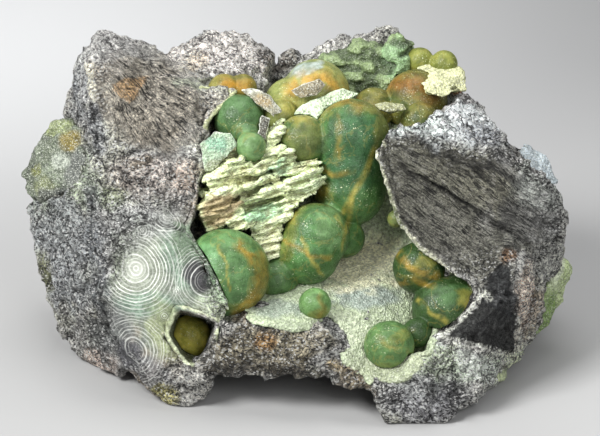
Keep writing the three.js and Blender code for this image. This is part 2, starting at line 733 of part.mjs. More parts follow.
const specimen = new THREE.Group();
for (const { name, mesh, style } of placed) specimen.add(piece(name, mesh, style));
specimen.position.copy(FRAME_SHIFT);

export default specimen;
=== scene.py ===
import math

import bpy
import numpy as np
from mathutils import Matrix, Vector
from mathutils.kdtree import KDTree


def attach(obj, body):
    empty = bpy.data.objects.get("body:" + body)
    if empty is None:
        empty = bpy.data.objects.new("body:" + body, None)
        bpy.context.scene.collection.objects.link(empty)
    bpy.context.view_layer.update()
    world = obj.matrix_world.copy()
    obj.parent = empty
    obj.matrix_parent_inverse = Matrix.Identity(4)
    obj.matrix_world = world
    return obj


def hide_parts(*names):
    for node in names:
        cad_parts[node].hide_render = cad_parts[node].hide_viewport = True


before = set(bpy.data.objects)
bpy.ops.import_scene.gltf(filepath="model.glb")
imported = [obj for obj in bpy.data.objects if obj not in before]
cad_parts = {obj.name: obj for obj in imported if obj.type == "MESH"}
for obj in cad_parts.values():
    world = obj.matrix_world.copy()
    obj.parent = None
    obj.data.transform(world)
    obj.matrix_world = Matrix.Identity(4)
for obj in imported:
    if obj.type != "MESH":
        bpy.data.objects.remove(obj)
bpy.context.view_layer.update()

# Lengths are millimetres in this script and metres in Blender.
MM = 0.001

# The front view: a sheet of 600 by 436 units and the eye that sees it, as the solids' landmarks have them.
SHEET_CENTRE = np.array([300.0, 218.0])
MM_PER_UNIT = 120 / 548
EYE_ELEVATION = math.radians(24)
EYE_DISTANCE = 1000.0
EYE_TARGET = np.array([0.69, -1.13, 31.5])
FRAME_SHIFT_Y = -1.13
FORWARD = np.array([0, math.cos(EYE_ELEVATION), -math.sin(EYE_ELEVATION)])
RIGHT = np.array([1.0, 0, 0])
UP = np.array([0, math.sin(EYE_ELEVATION), math.cos(EYE_ELEVATION)])
EYE = EYE_TARGET - FORWARD * EYE_DISTANCE


def columns(*values):
    return np.stack(values, axis=1)


def on_sheet(points):
    """The sheet position of each point."""
    d = points - EYE
    scale = EYE_DISTANCE / (d @ FORWARD) / MM_PER_UNIT
    return SHEET_CENTRE + columns((d @ RIGHT) * scale, -(d @ UP) * scale)


def seen(across, down, depth):
    """The point of the solids' frame at this depth on the sight line through a sheet position."""
    line = (FORWARD * EYE_DISTANCE + RIGHT * (across - SHEET_CENTRE[0]) * MM_PER_UNIT
            + UP * (SHEET_CENTRE[1] - down) * MM_PER_UNIT)
    return EYE + line * (depth + FRAME_SHIFT_Y - EYE[1]) / line[1]


def srgb(r, g, b):
    """A screen colour as linear light."""
    return np.array([(c / 255 / 12.92) if c <= 10 else ((c / 255 + 0.055) / 1.055) ** 2.4 for c in (r, g, b)])


def step(low, high, x):
    """A smooth step from 0 at low to 1 at high."""
    t = np.clip((x - low) / (high - low), 0, 1)
    return t * t * (3 - 2 * t)


# Seeded noise over points in millimetres
def lattice(ix, iy, iz, seed):
    h = (ix * 374761393 + iy * 668265263 + iz * 1442695041 + seed * 1274126177) & 0xFFFFFFFF
    h = ((h ^ (h >> 13)) * 1274126177) & 0xFFFFFFFF
    h = ((h ^ (h >> 15)) * 2246822519) & 0xFFFFFFFF
    return (h ^ (h >> 16)) / 0xFFFFFFFF


def noise(points, size, seed):
    """Smooth noise from -1 to 1. size is one length, or one for each axis."""
    p = points / size + seed * 7.31
    cell = np.floor(p).astype(np.int64)
    t = p - cell
    t = t * t * t * (t * (t * 6 - 15) + 10)
    total = np.zeros(len(p))
    for corner in np.ndindex(2, 2, 2):
        weight = np.where(corner, t, 1 - t).prod(axis=1)
        total += weight * lattice(*(cell + corner).T, seed)
    return total * 2 - 1


def layered(points, size, seed, octaves=3, gain=0.5):
    """Noise of this size, with finer and fainter noise on it."""
    return sum(noise(points, size / 2 ** o, seed + o) * gain ** o for o in range(octaves))


def draws(cells, seed, picks):
    """One lattice value in each column for each cell."""
    return columns(*(lattice(*cells.T, seed + pick) for pick in picks))


def chips(points, size, seed, flatness=0.35):
    """Angular facets: every cell of a random pattern is a small tilted plane."""
    p = points / size
    cell = np.floor(p).astype(np.int64)
    least = np.full(len(p), 1e9)
    height = np.zeros(len(p))
    for corner in np.ndindex(3, 3, 3):
        near = cell + corner - 1
        away = p - (near + draws(near, seed, (1, 2, 3)))
        distance = (away ** 2).sum(1)
        slope = (away * (draws(near, seed, (4, 5, 6)) - 0.5)).sum(1)
        level = (lattice(*near.T, seed + 7) - 0.5) * flatness + slope
        closer = distance < least
        least = np.where(closer, distance, least)
        height = np.where(closer, level, height)
    return height


# Meshes
def put(name, data):
    """A new object in the scene."""
    made = bpy.data.objects.new(name, data)
    bpy.context.scene.collection.objects.link(made)
    return made


def fresh_mesh(name, source, voxel):
    """A new object with the CAD node's mesh, remeshed evenly."""
    work = put("work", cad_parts[source].data.copy())
    remesh = work.modifiers.new("even", "REMESH")
    remesh.mode = "VOXEL"
    remesh.voxel_size = voxel * MM
    graph = bpy.context.evaluated_depsgraph_get()
    mesh = bpy.data.meshes.new_from_object(work.evaluated_get(graph))
    bpy.data.objects.remove(work)
    mesh.name = name
    mesh.materials.clear()
    return put(name, mesh)


def read(data, key):
    values = np.empty(len(data) * 3, np.float32)
    data.foreach_get(key, values)
    return values.reshape(-1, 3).astype(float)


def points_of(mesh):
    return read(mesh.vertices, "co") / MM


def normals_of(mesh):
    return read(mesh.vertex_normals, "vector")


def move_points(mesh, points):
    mesh.vertices.foreach_set("co", (points * MM).astype(np.float32).ravel())
    mesh.update()


def relax(mesh, points, rounds):
    """Evens the surface out by moving each point towards its neighbours' middle."""
    edges = np.empty(len(mesh.edges) * 2, np.int32)
    mesh.edges.foreach_get("vertices", edges)
    a, b = edges.reshape(-1, 2).T
    count = np.bincount(a, minlength=len(points)) + np.bincount(b, minlength=len(points))
    for _ in range(rounds):
        total = np.zeros_like(points)
        for axis in range(3):
            total[:, axis] = (np.bincount(a, points[b, axis], len(points))
                              + np.bincount(b, points[a, axis], len(points)))
        points = points * 0.45 + total / np.maximum(count, 1)[:, None] * 0.55
    return points


def nearest(points, targets):
    """The nearest target to each point, and its distance."""
    tree = KDTree(len(targets))
    for i, target in enumerate(targets):
        tree.insert(target, i)
    tree.balance()
    found = [tree.find(p) for p in points]
    return np.array([f[0] for f in found]), np.array([f[2] for f in found])


def keep(mesh, name, kind, key, values):
    data = mesh.attributes.new(name, kind, "POINT").data
    data.foreach_set(key, values.astype(np.float32).ravel())


def keep_tint(mesh, colours):
    rgba = np.ones((len(colours), 4))
    rgba[:, :3] = np.clip(colours, 0, 1)
    keep(mesh, "tint", "FLOAT_COLOR", "color", rgba)


def start_piece(name, node, voxel, rounds):
    """An evened copy of a CAD node's mesh, with its points and normals."""
    piece = fresh_mesh(name, node, voxel)
    points = relax(piece.data, points_of(piece.data), rounds)
    move_points(piece.data, points)
    return piece, points, normals_of(piece.data)


def settle(mesh, points):
    """Moves the mesh's points, and none of them below the ground."""
    points[:, 2] = np.maximum(points[:, 2], 0)
    move_points(mesh, points)


def finish_piece(piece, node, material):
    piece.data.shade_smooth()
    piece.data.materials.append(material)
    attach(piece, "root")
    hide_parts(node)


def turned(places, degrees):
    """Coordinates along a line that leans by this angle, and across it."""
    a = math.radians(degrees)
    x, y = places.T
    return x * math.cos(a) + y * math.sin(a), -x * math.sin(a) + y * math.cos(a)


# Painted marks, each a soft-edged patch on the sheet: across, down, half-width, half-height,
# tilt in degrees, colour, strength
def patch(uv, wobble, mark):
    across, down, wide, high, tilt = mark[:5]
    x, y = turned(uv - (across, down), tilt)
    return step(1.25, 0.7, np.hypot(x / wide, y / high) + wobble * 0.3)


def over(colours, tone, weight):
    """The colours with a screen colour laid over them, by each point's weight."""
    return colours * (1 - weight[:, None]) + srgb(*tone) * weight[:, None]


def shaded(tone, share):
    """A screen colour, lightened by a share at each point."""
    return srgb(*tone) * (1 + share[:, None])


def paint(colours, uv, wobble, marks, facing=1.0):
    for mark in marks:
        colours = over(colours, mark[5], patch(uv, wobble, mark) * mark[6] * facing)
    return colours


def fill(uv, wobble, outline):
    """How far each place lies inside a straight-edged outline that turns clockwise."""
    inside = np.full(len(uv), 1e9)
    for p, q in zip(outline, outline[1:] + outline[:1]):
        way = np.subtract(q, p)
        x, y = (uv - p).T
        inside = np.minimum(inside, (way[0] * y - way[1] * x) / np.linalg.norm(way))
    return inside + wobble


def near_line(uv, line):
    """The sheet distance to a line of points."""
    best = np.full(len(uv), 1e9)
    for p, q in zip(line, line[1:]):
        p, q = np.array(p, float), np.array(q, float)
        along = np.clip(((uv - p) @ (q - p)) / ((q - p) @ (q - p)), 0, 1)
        best = np.minimum(best, np.linalg.norm(uv - p - along[:, None] * (q - p), axis=1))
    return best


# Materials
class Surface:
    """A node material. Its coordinates are the object's own, in millimetres."""

    def __init__(self, name, **constants):
        self.material = bpy.data.materials.new(name)
        self.material.use_nodes = True
        self.tree = self.material.node_tree
        self.shader = self.tree.nodes["Principled BSDF"]
        for key, value in constants.items():
            self.shader.inputs[key.replace("_", " ")].default_value = value
        self.height = None
        place = self.node("TexCoord", {})["Object"]
        self.place = self.node("VectorMath", {0: place, "Scale": 1 / MM}, operation="SCALE")[0]

    def join(self, value, socket):
        if isinstance(value, bpy.types.NodeSocket):
            self.tree.links.new(value, socket)
        elif isinstance(value, (int, float)):
            socket.default_value = value
        else:
            opaque = (1.0,) if len(value) == 3 and socket.type == "RGBA" else ()
            socket.default_value = tuple(value) + opaque

    def node(self, kind, inputs, **settings):
        """The outputs of a new node with these settings and inputs."""
        made = self.tree.nodes.new("ShaderNode" + kind)
        for key, value in settings.items():
            setattr(made, key, value)
        for key, value in inputs.items():
            self.join(value, made.inputs[key])
        return made.outputs

    def noise(self, size, detail=2.0, place=None, rough=0.55, warp=0.0):
        inputs = {"Vector": place or self.place, "Scale": 1 / size, "Detail": detail}
        return self.node("TexNoise", {**inputs, "Roughness": rough, "Distortion": warp})["Fac"]

    def rings(self, distance, spacing, detail):
        inputs = {"W": distance, "Scale": 1 / spacing, "Detail": detail}
        return self.node("TexNoise", inputs, noise_dimensions="1D")["Fac"]

    def cells(self, size, output="Distance", feature="F1", place=None):
        inputs = {"Vector": place or self.place, "Scale": 1 / size}
        return self.node("TexVoronoi", inputs, feature=feature)[output]

    def calc(self, operation, a, b=0.0):
        return self.node("Math", {0: a, 1: b}, operation=operation)[0]

    def times(self, *values):
        product = values[0]
        for value in values[1:]:
            product = self.calc("MULTIPLY", product, value)
        return product

    def from_middle(self, value, middle):
        """How far a value is from the middle one."""
        return self.calc("ABSOLUTE", self.calc("SUBTRACT", value, middle))

    def between(self, value, low, high, to_low=0.0, to_high=1.0):
        inputs = {"Value": value, "From Min": low, "From Max": high, "To Min": to_low, "To Max": to_high}
        return self.node("MapRange", inputs, interpolation_type="SMOOTHSTEP")[0]

    def mix(self, amount, a, b, mode="MIX"):
        """Inputs 6 and 7 are the node's colours, and output 2 is the mixed one."""
        return self.node("Mix", {"Factor": amount, 6: a, 7: b}, data_type="RGBA", blend_type=mode)[2]

    def tinted(self, colour, by):
        return self.mix(1.0, colour, by, "MULTIPLY")

    def grey(self, colour):
        return self.node("RGBToBW", {0: colour})[0]

    def blend(self, amount, a, b):
        """The value a where amount is 0, and b where it is 1."""
        return self.calc("ADD", a, self.times(amount, self.calc("SUBTRACT", b, a)))

    def mark(self, name, output="Fac"):
        return self.node("Attribute", {}, attribute_name=name)[output]

    def distance(self, point):
        return self.node("VectorMath", {0: self.place, 1: point}, operation="DISTANCE")["Value"]

    def along(self, point, side):
        """How far the place lies beyond the point, towards a side given as right and up."""
        way = np.array([side[0], 0, side[1]])
        reached = self.node("VectorMath", {0: self.place, 1: way}, operation="DOT_PRODUCT")["Value"]
        return self.calc("SUBTRACT", reached, float(way @ point))

    def divide(self, vector, sizes):
        return self.node("VectorMath", {0: vector, 1: sizes}, operation="DIVIDE")[0]

    def swirl(self, size, amount):
        """The place, pushed about by noise."""
        push = self.node("TexNoise", {"Vector": self.place, "Scale": 1 / size})["Color"]
        inputs = {0: push, 1: (amount, amount, amount), 2: self.place}
        return self.node("VectorMath", inputs, operation="MULTIPLY_ADD")[0]

    def flecks(self, place, sizes, dark_share, light_share):
        """Crisp grains of these sizes. Returns how dark and how light each place is."""
        cut = self.divide(place, sizes)
        body = self.between(self.cells(1.0, place=cut), 0.46, 0.34)
        kind = self.grey(self.cells(1.0, "Color", place=cut))
        dark = self.calc("LESS_THAN", kind, dark_share)
        light = self.calc("GREATER_THAN", kind, 1 - light_share)
        return self.times(body, dark), self.times(body, light)

    def bump(self, height, depth, strength=1.0):
        inputs = {"Strength": strength, "Distance": depth * MM, "Height": height}
        if self.height is not None:
            inputs["Normal"] = self.height
        self.height = self.node("Bump", inputs)["Normal"]

    def done(self, colour, roughness=None):
        self.join(colour, self.shader.inputs["Base Color"])
        if roughness is not None:
            self.join(roughness, self.shader.inputs["Roughness"])
        if self.height is not None:
            self.join(self.height, self.shader.inputs["Normal"])
        return self.material


# The rock. Voxels are in millimetres.
ROCK_VOXEL = 0.7
# Growth rings: centre on the sheet, reach, spacing and clear middle in millimetres, strength, and
# the side they open to.
RINGS = [
    (131, 352, 10.0, 0.8, 2.4, 0.7, (1.0, 0.6)), (170, 216, 5.6, 0.62, 0, 0.6, (1.0, -0.3)),
    (206, 280, 9.5, 0.72, 2.8, 0.6, (-1.0, 0.1)), (139.5, 231, 3.4, 0.55, 0, 0.8, (0.0, 1.0)),
    (132, 268, 12.5, 0.82, 0, 1.0, (0.75, -0.5)), (175, 295, 1.6, 0.45, 0, 0.8, (1.0, 0.0)),
    (164, 318, 1.5, 0.45, 0, 0.8, (1.0, 0.0)), (182, 369, 1.6, 0.45, 0, 0.8, (1.0, 0.0)),
    (91, 271, 2.6, 0.7, 0, 0.5, (0.0, -1.0)), (197, 78, 3.6, 0.6, 0, 0.7, (0.0, -1.0)),
    (470, 366, 6.0, 0.8, 1.5, 0.5, (1.0, 0.0)), (430, 352, 4.5, 0.6, 1.0, 0.6, (-0.6, -1.0)),
]
GREY = (168, 167, 163)
ROCK_MARKS = [
    # Left shoulder and flank
    (60, 180, 44, 52, 0, (150, 160, 140), 0.85), (74, 138, 16, 12, 0, (120, 112, 50), 0.75),
    (66, 255, 40, 66, -8, (142, 145, 146), 0.9), (92, 270, 12, 12, 0, (176, 178, 168), 0.6),
    (102, 318, 16, 30, 10, (162, 164, 152), 0.6), (104, 360, 22, 11, 10, (186, 168, 156), 0.75),
    (44, 272, 9, 28, 0, (116, 118, 70), 0.7),
    # Tower
    (150, 100, 56, 46, 20, (178, 171, 158), 0.85), (127, 91, 12, 6, 35, (176, 140, 92), 0.6),
    (137, 84, 8, 5, 0, (176, 140, 92), 0.5), (120, 55, 34, 20, 20, (164, 162, 160), 0.6),
    (80, 100, 8, 34, 5, (150, 154, 160), 0.6), (97, 132, 11, 34, -8, (112, 115, 122), 0.75),
    (150, 178, 46, 24, 10, (184, 174, 166), 0.8), (186, 176, 14, 20, 0, (190, 172, 156), 0.6),
    (142, 162, 14, 6, -20, (120, 108, 86), 0.6), (112, 200, 14, 12, 0, (120, 132, 96), 0.6),
    (115, 38, 20, 10, 0, (186, 184, 182), 0.7), (200, 83, 26, 9, 5, (190, 206, 184), 0.85),
    # Banded wall
    (158, 285, 48, 72, 12, (128, 137, 122), 0.97), (140, 265, 30, 32, 0, (158, 164, 148), 0.7),
    (182, 262, 20, 30, -20, (120, 144, 124), 0.7), (150, 305, 34, 12, 0, (126, 154, 134), 0.6),
    (211, 274, 8, 38, -22, (134, 164, 130), 0.85), (150, 222, 40, 12, 12, (134, 138, 134), 0.6),
    (116, 336, 24, 40, -30, (92, 94, 94), 0.8), (190, 250, 12, 32, -26, (106, 124, 100), 0.85),
    (168, 330, 18, 30, -20, (150, 158, 116), 0.7), (196, 352, 12, 8, -50, (176, 180, 120), 0.7),
    (188, 384, 30, 22, 0, (162, 160, 154), 0.85), (212, 300, 20, 12, -35, (168, 184, 156), 0.8),
    (128, 240, 26, 14, -20, (120, 122, 118), 0.5), (160, 200, 30, 14, 0, (128, 128, 124), 0.5),
    (198, 276, 11, 19, -25, (58, 56, 60), 0.95), (130, 352, 15, 13, 10, (84, 84, 88), 0.9),
    (150, 372, 24, 14, 35, (110, 110, 112), 0.8), (218, 312, 22, 9, 10, (196, 206, 178), 0.85),
    (166, 396, 13, 10, 40, (158, 152, 96), 0.85), (98, 250, 10, 60, -4, (96, 100, 104), 0.6),
    # Mound and ridge
    (224, 54, 52, 26, 5, (224, 218, 212), 0.9), (280, 56, 20, 18, 10, (96, 86, 74), 0.8),
    (194, 62, 12, 12, 0, (170, 150, 110), 0.4), (210, 76, 54, 2.2, 0, (240, 236, 232), 0.9),
    (350, 42, 60, 14, -8, (198, 196, 190), 0.8),
    # Slab
    (440, 190, 84, 74, 30, (120, 119, 107), 0.97), (470, 180, 70, 22, 36, (134, 132, 115), 0.6),
    (462, 240, 56, 30, 32, (124, 123, 113), 0.9), (450, 154, 58, 6, 22, (62, 61, 56), 0.85),
    (506, 176, 22, 5, 38, (58, 57, 54), 0.7), (450, 123, 62, 24, 9, (226, 231, 231), 0.97),
    (418, 124, 30, 15, 10, (232, 240, 236), 0.97), (482, 136, 22, 12, 20, (132, 134, 140), 0.7),
    (500, 156, 18, 8, 30, (70, 70, 70), 0.7), (540, 190, 26, 26, 30, (150, 154, 148), 0.8),
    (530, 225, 34, 22, 20, (104, 104, 102), 0.8), (458, 90, 8, 5, 0, (176, 116, 60), 0.85),
    (470, 99, 12, 7, 20, (104, 100, 98), 0.85),
    # Right side and foot
    (522, 300, 9, 50, 14, (206, 192, 178), 0.9), (530, 306, 4, 36, 14, (104, 82, 62), 0.7),
    (508, 256, 8, 7, 20, (140, 98, 62), 0.6), (548, 262, 18, 26, 0, (172, 172, 166), 0.85),
    (512, 366, 10, 26, 40, (180, 190, 160), 0.7), (432, 372, 40, 24, -10, (160, 172, 146), 0.75),
    (480, 368, 24, 12, -20, (172, 184, 166), 0.7), (424, 348, 18, 7, -15, (206, 216, 204), 0.8),
    (424, 402, 40, 26, 0, (140, 140, 143), 0.85), (456, 398, 14, 18, 0, (70, 70, 72), 0.75),
    # The near-black patch at (385, 396) is painted shadow at the arch's right end
    (385, 396, 16, 8, 25, (54, 54, 54), 0.7), (350, 376, 30, 7, 32, (140, 118, 60), 0.6),
    (352, 388, 26, 16, 35, (118, 110, 96), 0.7),
    # Front rim; the two dark strips along its underside are painted shadow of the arch below it
    (262, 348, 60, 24, 0, (140, 132, 110), 0.85), (264, 343, 13, 8, 0, (158, 122, 76), 0.8),
    (240, 367, 34, 8, 0, (62, 58, 50), 0.8), (300, 372, 46, 8, 8, (66, 62, 53), 0.8),
]
# Cracks: half-width on the sheet, depth in millimetres, and the line they follow.
CRACKS = [
    (1.6, 0.7, [(402, 164), (420, 176), (446, 192), (472, 208), (500, 227), (530, 244)]),
    (1.1, 0.45, [(384, 139), (408, 152), (438, 160), (470, 173), (494, 185)]),
    (1.2, 0.5, [(392, 128), (402, 142), (413, 157)]),
    (0.9, 0.4, [(386, 172), (396, 200), (412, 226), (440, 252), (462, 272)]),
    (1.0, 0.4, [(388, 206), (400, 216), (412, 230)]),
    (1.0, 0.45, [(432, 150), (462, 163), (486, 178), (504, 190)]),
    (0.8, 0.35, [(500, 196), (520, 206), (546, 214)]), (0.8, 0.3, [(414, 152), (428, 158), (440, 168)]),
    (0.7, 0.3, [(392, 152), (404, 168), (424, 186), (440, 196)]),
    (0.7, 0.3, [(470, 190), (500, 208), (516, 216)]), (1.0, 0.4, [(146, 163), (156, 156), (166, 160)]),
    (1.2, 0.5, [(118, 170), (128, 180), (140, 182), (150, 172)]),
    (0.8, 0.3, [(98, 90), (108, 112), (124, 136)]),
    (0.7, 0.25, [(132, 62), (146, 84), (162, 108), (184, 130)]),
    (0.7, 0.25, [(150, 66), (164, 90), (188, 116)]),
    (0.7, 0.25, [(118, 80), (132, 108), (152, 132), (178, 146)]),
    (1.2, 0.5, [(90, 196), (93, 236), (99, 262), (97, 286), (110, 330), (130, 360), (146, 382)]),
    (1.2, 0.5, [(112, 240), (132, 226), (152, 222), (184, 232)]),
    (1.0, 0.5, [(92, 100), (96, 130), (98, 160)]), (1.0, 0.4, [(66, 240), (84, 262), (88, 292)]),
    (0.9, 0.4, [(226, 352), (250, 358), (284, 354), (312, 362)]),
    (0.8, 0.3, [(250, 336), (262, 350), (276, 362)]), (1.0, 0.4, [(440, 352), (430, 376), (436, 402)]),
    (0.9, 0.4, [(498, 286), (484, 306), (462, 322)]),
]
# Clean broken faces: colour, strength, strength of the pale edge, and the outline on the sheet.
FACES = [
    ((174, 166, 152), 0.5, 0.0,
     [(92, 67), (128, 57), (240, 90), (206, 140), (160, 152), (118, 142), (98, 104)]),
    ((122, 116, 100), 0.5, 0.0, [(122, 70), (136, 60), (142, 64), (138, 84), (126, 92)]),
    ((188, 148, 94), 0.62, 0.0, [(113, 86), (124, 79), (146, 79), (141, 90), (130, 104), (119, 98)]),
    ((222, 218, 200), 0.85, 0.0, [(86, 66), (92, 66), (96, 84), (94, 102), (88, 92)]),
    ((30, 31, 32), 0.96, 0.6, [(482, 297), (516, 318), (512, 352), (443, 336)]),
    ((40, 42, 44), 0.93, 0.0, [(478, 299), (484, 282), (502, 262), (510, 268), (516, 318)]),
    ((196, 197, 186), 0.75, 0.0, [(481, 287), (494, 296), (487, 301), (478, 297)]),
    ((212, 213, 202), 0.8, 0.0, [(441, 334), (480, 294), (484, 298), (445, 339)]),
    ((200, 199, 188), 0.7, 0.0, [(515, 314), (519, 317), (517, 352), (513, 350)]),
    ((214, 219, 212), 0.55, 0.0, [(452, 346), (472, 350), (504, 372), (490, 384), (462, 374)]),
    ((196, 208, 176), 0.55, 0.0, [(412, 352), (440, 346), (447, 352), (430, 364), (404, 374)]),
]
EDGE = (206, 208, 196)
# The lean of the slab's grain in degrees, and the place that the tower's grain fans out from
SLAB_LEAN = 35
GRAIN_ORIGIN = (440, 190)
FAN_CENTRE = (75, 28)
FAN_REACH = 24.0


def rock_regions(points, normals):
    """How much each point belongs to the slab's face, the tower's face and the banded wall."""
    uv = on_sheet(points)
    facing = step(-0.1, 0.35, -(normals @ FORWARD))
    wobble = 0.7 * layered(points, 7, 15, 2)
    slab = np.maximum(patch(uv, wobble, (440, 206, 62, 46, 38)), patch(uv, wobble, (500, 205, 46, 36, 30)))
    tower = patch(uv, wobble, (150, 102, 52, 46, 30))
    banded = patch(uv, wobble, (162, 296, 47, 78, 13))
    return uv, facing, slab * facing, tower * facing, banded * facing


def grain_place(points, uv, lean):
    """Coordinates that run along the grain, across it and into the rock, in millimetres."""
    along, across = turned((uv - GRAIN_ORIGIN) * MM_PER_UNIT, lean)
    return columns(along, across, points[:, 1])


def fan_place(points, uv, centre, reach):
    """The same for grain that fans out from one point of the sheet."""
    x, y = ((uv - centre) * MM_PER_UNIT).T
    return columns(np.hypot(x, y), np.arctan2(y, x) * reach, points[:, 1])


def crack_depth(points, uv, facing):
    """How deep the cracks are at each point, in millimetres. They sway and are broken by gaps."""
    crack = np.zeros(len(points))
    sway = columns(noise(points, 2.2, 95), noise(points, 2.2, 96)) * 2.2
    broken = 0.55 + 0.45 * step(-0.5, 0.1, noise(points, 3.5, 97))
    for half, depth, line in CRACKS:
        near = step(half * 2.0, half * 0.5, near_line(uv + sway, line))
        crack = np.maximum(crack, near * depth * facing * broken)
    return crack


def rock_relief(points, normals):
    """How far the rock's surface stands out, its finest part alone, its cracks and its grain."""
    uv, facing, slab, tower, banded = rock_regions(points, normals)
    coarse = 1.7 * chips(points, 7.5, 20) + 1.1 * chips(points, 4.2, 25) + 0.4 * layered(points, 5.0, 31, 2)
    fine = 0.95 * chips(points, 2.7, 40) + 0.38 * layered(points, 1.9, 51, 3) + 0.45 * chips(points, 1.5, 45)
    bend = 1.2 * noise(points, 9.0, 63)[:, None] * np.array([0, 1, 0])
    slab_grain = grain_place(points, uv, SLAB_LEAN) + bend
    tower_grain = fan_place(points, uv, FAN_CENTRE, FAN_REACH) + 0.5 * bend
    slab_steps = layered(slab_grain / (6.5, 1.1, 9.0), 1.0, 60, 3, 0.6)
    tower_steps = layered(tower_grain / (5.5, 1.0, 9.0), 1.0, 70, 3, 0.6)
    crack = crack_depth(points, uv, facing)
    flat = np.maximum(slab, banded * 0.75)
    fine = fine * (1 - 0.8 * flat) * (1 - 0.75 * tower) + slab_steps * slab * 0.3
    fine = fine + tower_steps * tower * 0.34 - crack * 1.1
    relief = coarse * (1 - 0.75 * flat) * (1 - 0.35 * tower) + fine
    grain = np.where((slab > tower)[:, None], slab_grain, tower_grain)
    return relief, fine, crack, grain, np.maximum(slab, tower), banded


def rock_colours(points, normals, fine, crack):
    uv = on_sheet(points)
    facing = step(0.0, 0.3, -(normals @ FORWARD))
    wobble = layered(points, 4.0, 80, 3, 0.6)
    warm = np.array([0.008, 0.002, -0.008]) * layered(points, 11, 88, 2)[:, None]
    colours = shaded(GREY, 0.35 * layered(points, 16, 85, 3)) + warm
    colours = over(colours, (186, 186, 170), step(0.1, 0.6, layered(points, 12, 91, 3)) * 0.6)
    colours = over(colours, (148, 128, 98), step(0.25, 0.7, layered(points, 14, 94, 4)) * 0.5)
    colours = paint(colours, uv, wobble, ROCK_MARKS, facing)
    for tone, strength, edge, outline in FACES:
        depth = fill(uv, wobble * 1.2, outline)
        colours = over(colours, EDGE, step(-2.6, -1.2, depth) * facing * edge)
        colours = over(colours, tone, step(-1.2, 0.4, depth) * facing * strength)
    # Painted shade and highlight: the fine relief's ridges are lighter and its hollows darker, and the cracks
    # are darkened by their depth as painted shade.
    light = 1 + np.clip(fine, -0.8, 0.8)[:, None] * 0.62
    return colours * light * (1 - np.clip(crack * 1.3, 0, 0.85)[:, None])


LININGS = ("vug_crust", "crust_left_wall", "crust_window", "crust_slab_edge", "crust_upper_left")
LINING_VOXEL = 0.5
SEAM = 2.0


def meet_linings(points):
    """Closes the solids' clearance: rock within the seam of a lining moves onto it."""
    targets = []
    for node in LININGS:
        lining = fresh_mesh("lining", node, LINING_VOXEL)
        targets.append(points_of(lining.data))
        bpy.data.objects.remove(lining)
    targets = np.concatenate(targets)
    place, away = nearest(points, targets)
    pull = step(SEAM, SEAM * 0.7, away)[:, None]
    return points + (place - points) * pull


def rock_grit(s, tint, grained, smooth, flow):
    """How light the rock's grain is at each place, and the tint with that grain."""
    rough = s.noise(0.74, 5, place=flow, rough=0.78)
    speck = s.noise(0.4, 4, rough=0.85)
    value = s.between(s.blend(grained, rough, speck), 0.385, 0.625)
    soft = s.calc("MAXIMUM", smooth, s.times(grained, 0.4))
    low = s.mix(soft, (0.27, 0.27, 0.275), (0.72, 0.72, 0.72))
    high = s.mix(soft, (2.5, 2.5, 2.47), (1.32, 1.32, 1.32))
    return value, s.tinted(tint, s.mix(value, low, high))


def rock_flecks(s, colour, tint, loose, flow):
    """Dark flecks, most on dark rock, and white ones, most on light rock."""
    light = s.grey(tint)
    dark, white = s.flecks(flow, (0.72, 0.72, 0.4), 0.46, 0.5)
    dark = s.times(dark, s.between(light, 0.6, 0.3, 0.4, 0.92), loose)
    white = s.times(white, s.between(light, 0.03, 0.16, 0.03, 0.88), loose)
    return s.mix(white, s.mix(dark, colour, srgb(38, 37, 38)), srgb(234, 234, 230))


def rock_streaks(s, colour, grained, place):
    """The grooves along the grain, and the colour with them and with fine dashes."""
    groove = s.noise(1.0, 4, place=s.divide(place, (4.5, 0.42, 3.0)), rough=0.68)
    streak = s.mix(s.between(groove, 0.44, 0.56), (0.66, 0.66, 0.65), (1.36, 1.36, 1.35))
    colour = s.mix(s.times(grained, 0.9), colour, s.tinted(colour, streak))
    dash, pale = s.flecks(place, (2.2, 0.3, 1.0), 0.42, 0.36)
    colour = s.mix(s.times(dash, grained, 0.68), colour, srgb(34, 32, 29))
    return groove, s.mix(s.times(pale, grained, 0.34), colour, srgb(222, 219, 208))


def rock_openings(s, colour, loose, shards, grained, place):
    """The gaps between shards and the splits along the grain, and the colour with them, near-black in both as
    painted shade.
    """
    gap = s.between(s.cells(2.9, feature="DISTANCE_TO_EDGE", place=shards), 0.075, 0.015)
    gap = s.times(gap, loose, s.between(s.noise(3.0, 2), 0.44, 0.56))
    colour = s.mix(s.times(gap, 0.85), colour, srgb(28, 27, 27))
    split = s.noise(1.0, 3, place=s.divide(place, (7.0, 1.0, 6.0)), rough=0.6, warp=0.25)
    split = s.between(s.from_middle(split, 0.5), 0.05, 0.015)
    split = s.times(split, grained, s.between(s.noise(2.6, 3), 0.47, 0.55))
    return s.calc("ADD", gap, split), s.mix(s.times(split, 0.9), colour, srgb(20, 19, 17))


def ring_lines(s, wobbled, spacing):
    """Lines at about this spacing from the centre, of uneven strength."""
    phase = s.calc("ADD", s.calc("DIVIDE", wobbled, spacing), s.times(s.rings(wobbled, 1.9, 1), 1.6))
    line = s.between(s.from_middle(s.calc("FRACT", phase), 0.5), 0.3, 0.42)
    uneven = s.between(s.rings(wobbled, 0.8, 2), 0.35, 0.6, 0.3, 1.0)
    return s.times(line, uneven, s.between(s.noise(2.2, 2), 0.3, 0.6, 0.5, 1.0))


